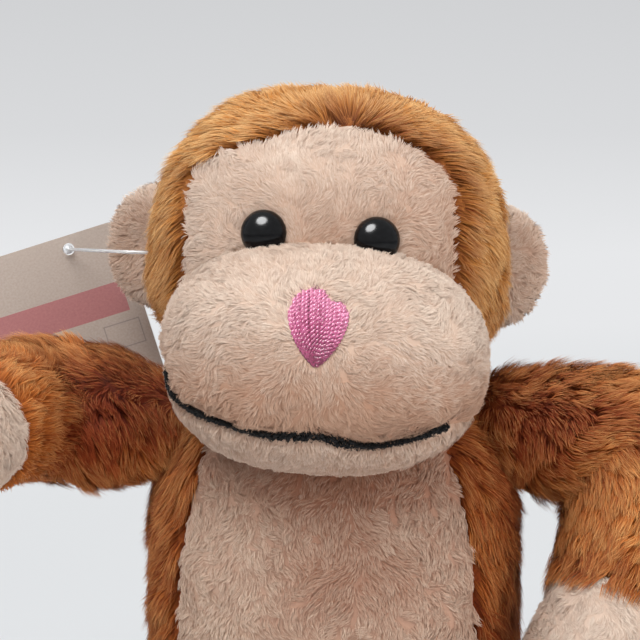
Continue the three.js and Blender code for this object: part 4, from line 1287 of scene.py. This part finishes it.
def make_stage():
    """A pale floor that sweeps up into a backdrop, both shown at their own colour far from the doll, darker
    up the backdrop as painted light.
    """
    turns = np.linspace(0, math.pi / 2, 24)
    profile = [(-STAGE_HALF, -0.01)]
    profile += [(STAGE_BACK + STAGE_BEND * math.sin(a), STAGE_BEND * (1 - math.cos(a))) for a in turns]
    profile.append((STAGE_BACK + STAGE_BEND, STAGE_TOP))
    points = [(x * MM, y * MM, z * MM) for x in (-STAGE_HALF, STAGE_HALF) for y, z in profile]
    n = len(profile)
    mesh = bpy.data.meshes.new("stage_sweep")
    mesh.from_pydata(points, [], [(k, k + n, k + n + 1, k + 1) for k in range(n - 1)])
    mesh.shade_smooth()
    floor = add_object("stage_sweep", mesh)
    material, tree, shader = new_material("stage", {"Roughness": 0.9, "Specular IOR Level": 0})
    place = object_place(tree)
    height = add_node(tree, "SeparateXYZ", {"Vector": place}).outputs["Z"]
    rise = add_node(tree, "MapRange", {"Value": height, "From Min": 0.0, "From Max": 0.35})
    colour = ramp(tree, rise.outputs["Result"], STAGE_PLACES, STAGE_COLOURS)
    tree.links.new(colour, shader.inputs["Base Color"])
    distance = add_node(tree, "VectorMath", {0: place}, operation="LENGTH").outputs["Value"]
    spans = {"From Min": 0.12, "From Max": 0.6, "To Min": 0.7, "To Max": 1.0}
    far = add_node(tree, "MapRange", {"Value": distance, **spans}, interpolation_type="SMOOTHSTEP")
    seen = add_node(tree, "LightPath").outputs["Is Camera Ray"]
    share = add_node(tree, "Math", {0: seen, 1: far.outputs["Result"]}, operation="MULTIPLY").outputs[0]
    glow = add_node(tree, "Emission", {"Color": colour}).outputs["Emission"]
    both = add_node(tree, "MixShader", {"Fac": share, 1: shader.outputs["BSDF"], 2: glow})
    output = next(n for n in tree.nodes if n.type == "OUTPUT_MATERIAL")
    tree.links.new(both.outputs["Shader"], output.inputs["Surface"])
    mesh.materials.append(material)


# Each lamp's place, aim, size in millimetres and power in watts
LAMPS = {
    "top_light": ((-100, -150, 1000), (0, 0, 110), 1200, 2.4),
    "key_light": ((-230, -560, 720), (0, 0, 110), 500, 4.9),
    "fill_light": ((560, -520, 260), (0, 0, 90), 600, 2.4),
    "back_light": ((260, 620, 460), (0, 0, 90), 700, 1.3),
    "window_light": ((-230, -420, 800), (0, 0, 110), 520, 24),
}
HIGHLIGHT_LAMP = "window_light"  # this one shows in highlights alone, and the others never do


def make_lamps():
    for name, (at, aim, size, power) in LAMPS.items():
        data = bpy.data.lights.new(name, "AREA")
        data.shape = "DISK"
        data.size = size * MM
        data.energy = power
        lamp = add_object(name, data)
        lamp.location = Vector(at) * MM
        lamp.rotation_euler = (Vector(aim) - Vector(at)).to_track_quat("-Z", "Y").to_euler()
        lamp.visible_glossy = name == HIGHLIGHT_LAMP
        lamp.visible_diffuse = name != HIGHLIGHT_LAMP


def make_world():
    """A pale surrounding light, shown at its own colour to the camera and in highlights."""
    scene.world = bpy.data.worlds.new("world")
    scene.world.use_nodes = True
    tree = scene.world.node_tree
    background = next(n for n in tree.nodes if n.type == "BACKGROUND")
    background.inputs["Color"].default_value = linear((244, 246, 248))
    background.inputs["Strength"].default_value = 0.5
    seen = add_node(tree, "Background", {"Color": linear((228, 230, 232))}).outputs[0]
    path = add_node(tree, "LightPath")
    rays = path.outputs["Is Camera Ray"]
    for kind in ("Is Transmission Ray", "Is Glossy Ray"):
        rays = add_node(tree, "Math", {0: rays, 1: path.outputs[kind]}, operation="MAXIMUM").outputs[0]
    both = add_node(tree, "MixShader", {"Fac": rays, 1: background.outputs[0], 2: seen})
    output = next(n for n in tree.nodes if n.type == "OUTPUT_WORLD")
    tree.links.new(both.outputs[0], output.inputs["Surface"])


make_torso()
make_neck()
make_head()
make_muzzle()
make_nose()
make_mouth()
make_eyes()
make_ears()
for arm in ARM_BENDS:
    make_arm(arm)
for leg, leg_side in SIDES:
    make_leg(leg, leg_side)
make_tail()
make_tag()
make_pin()
finish_inner_pieces()
make_stage()
make_lamps()
make_world()
scene.view_settings.view_transform = "Standard"
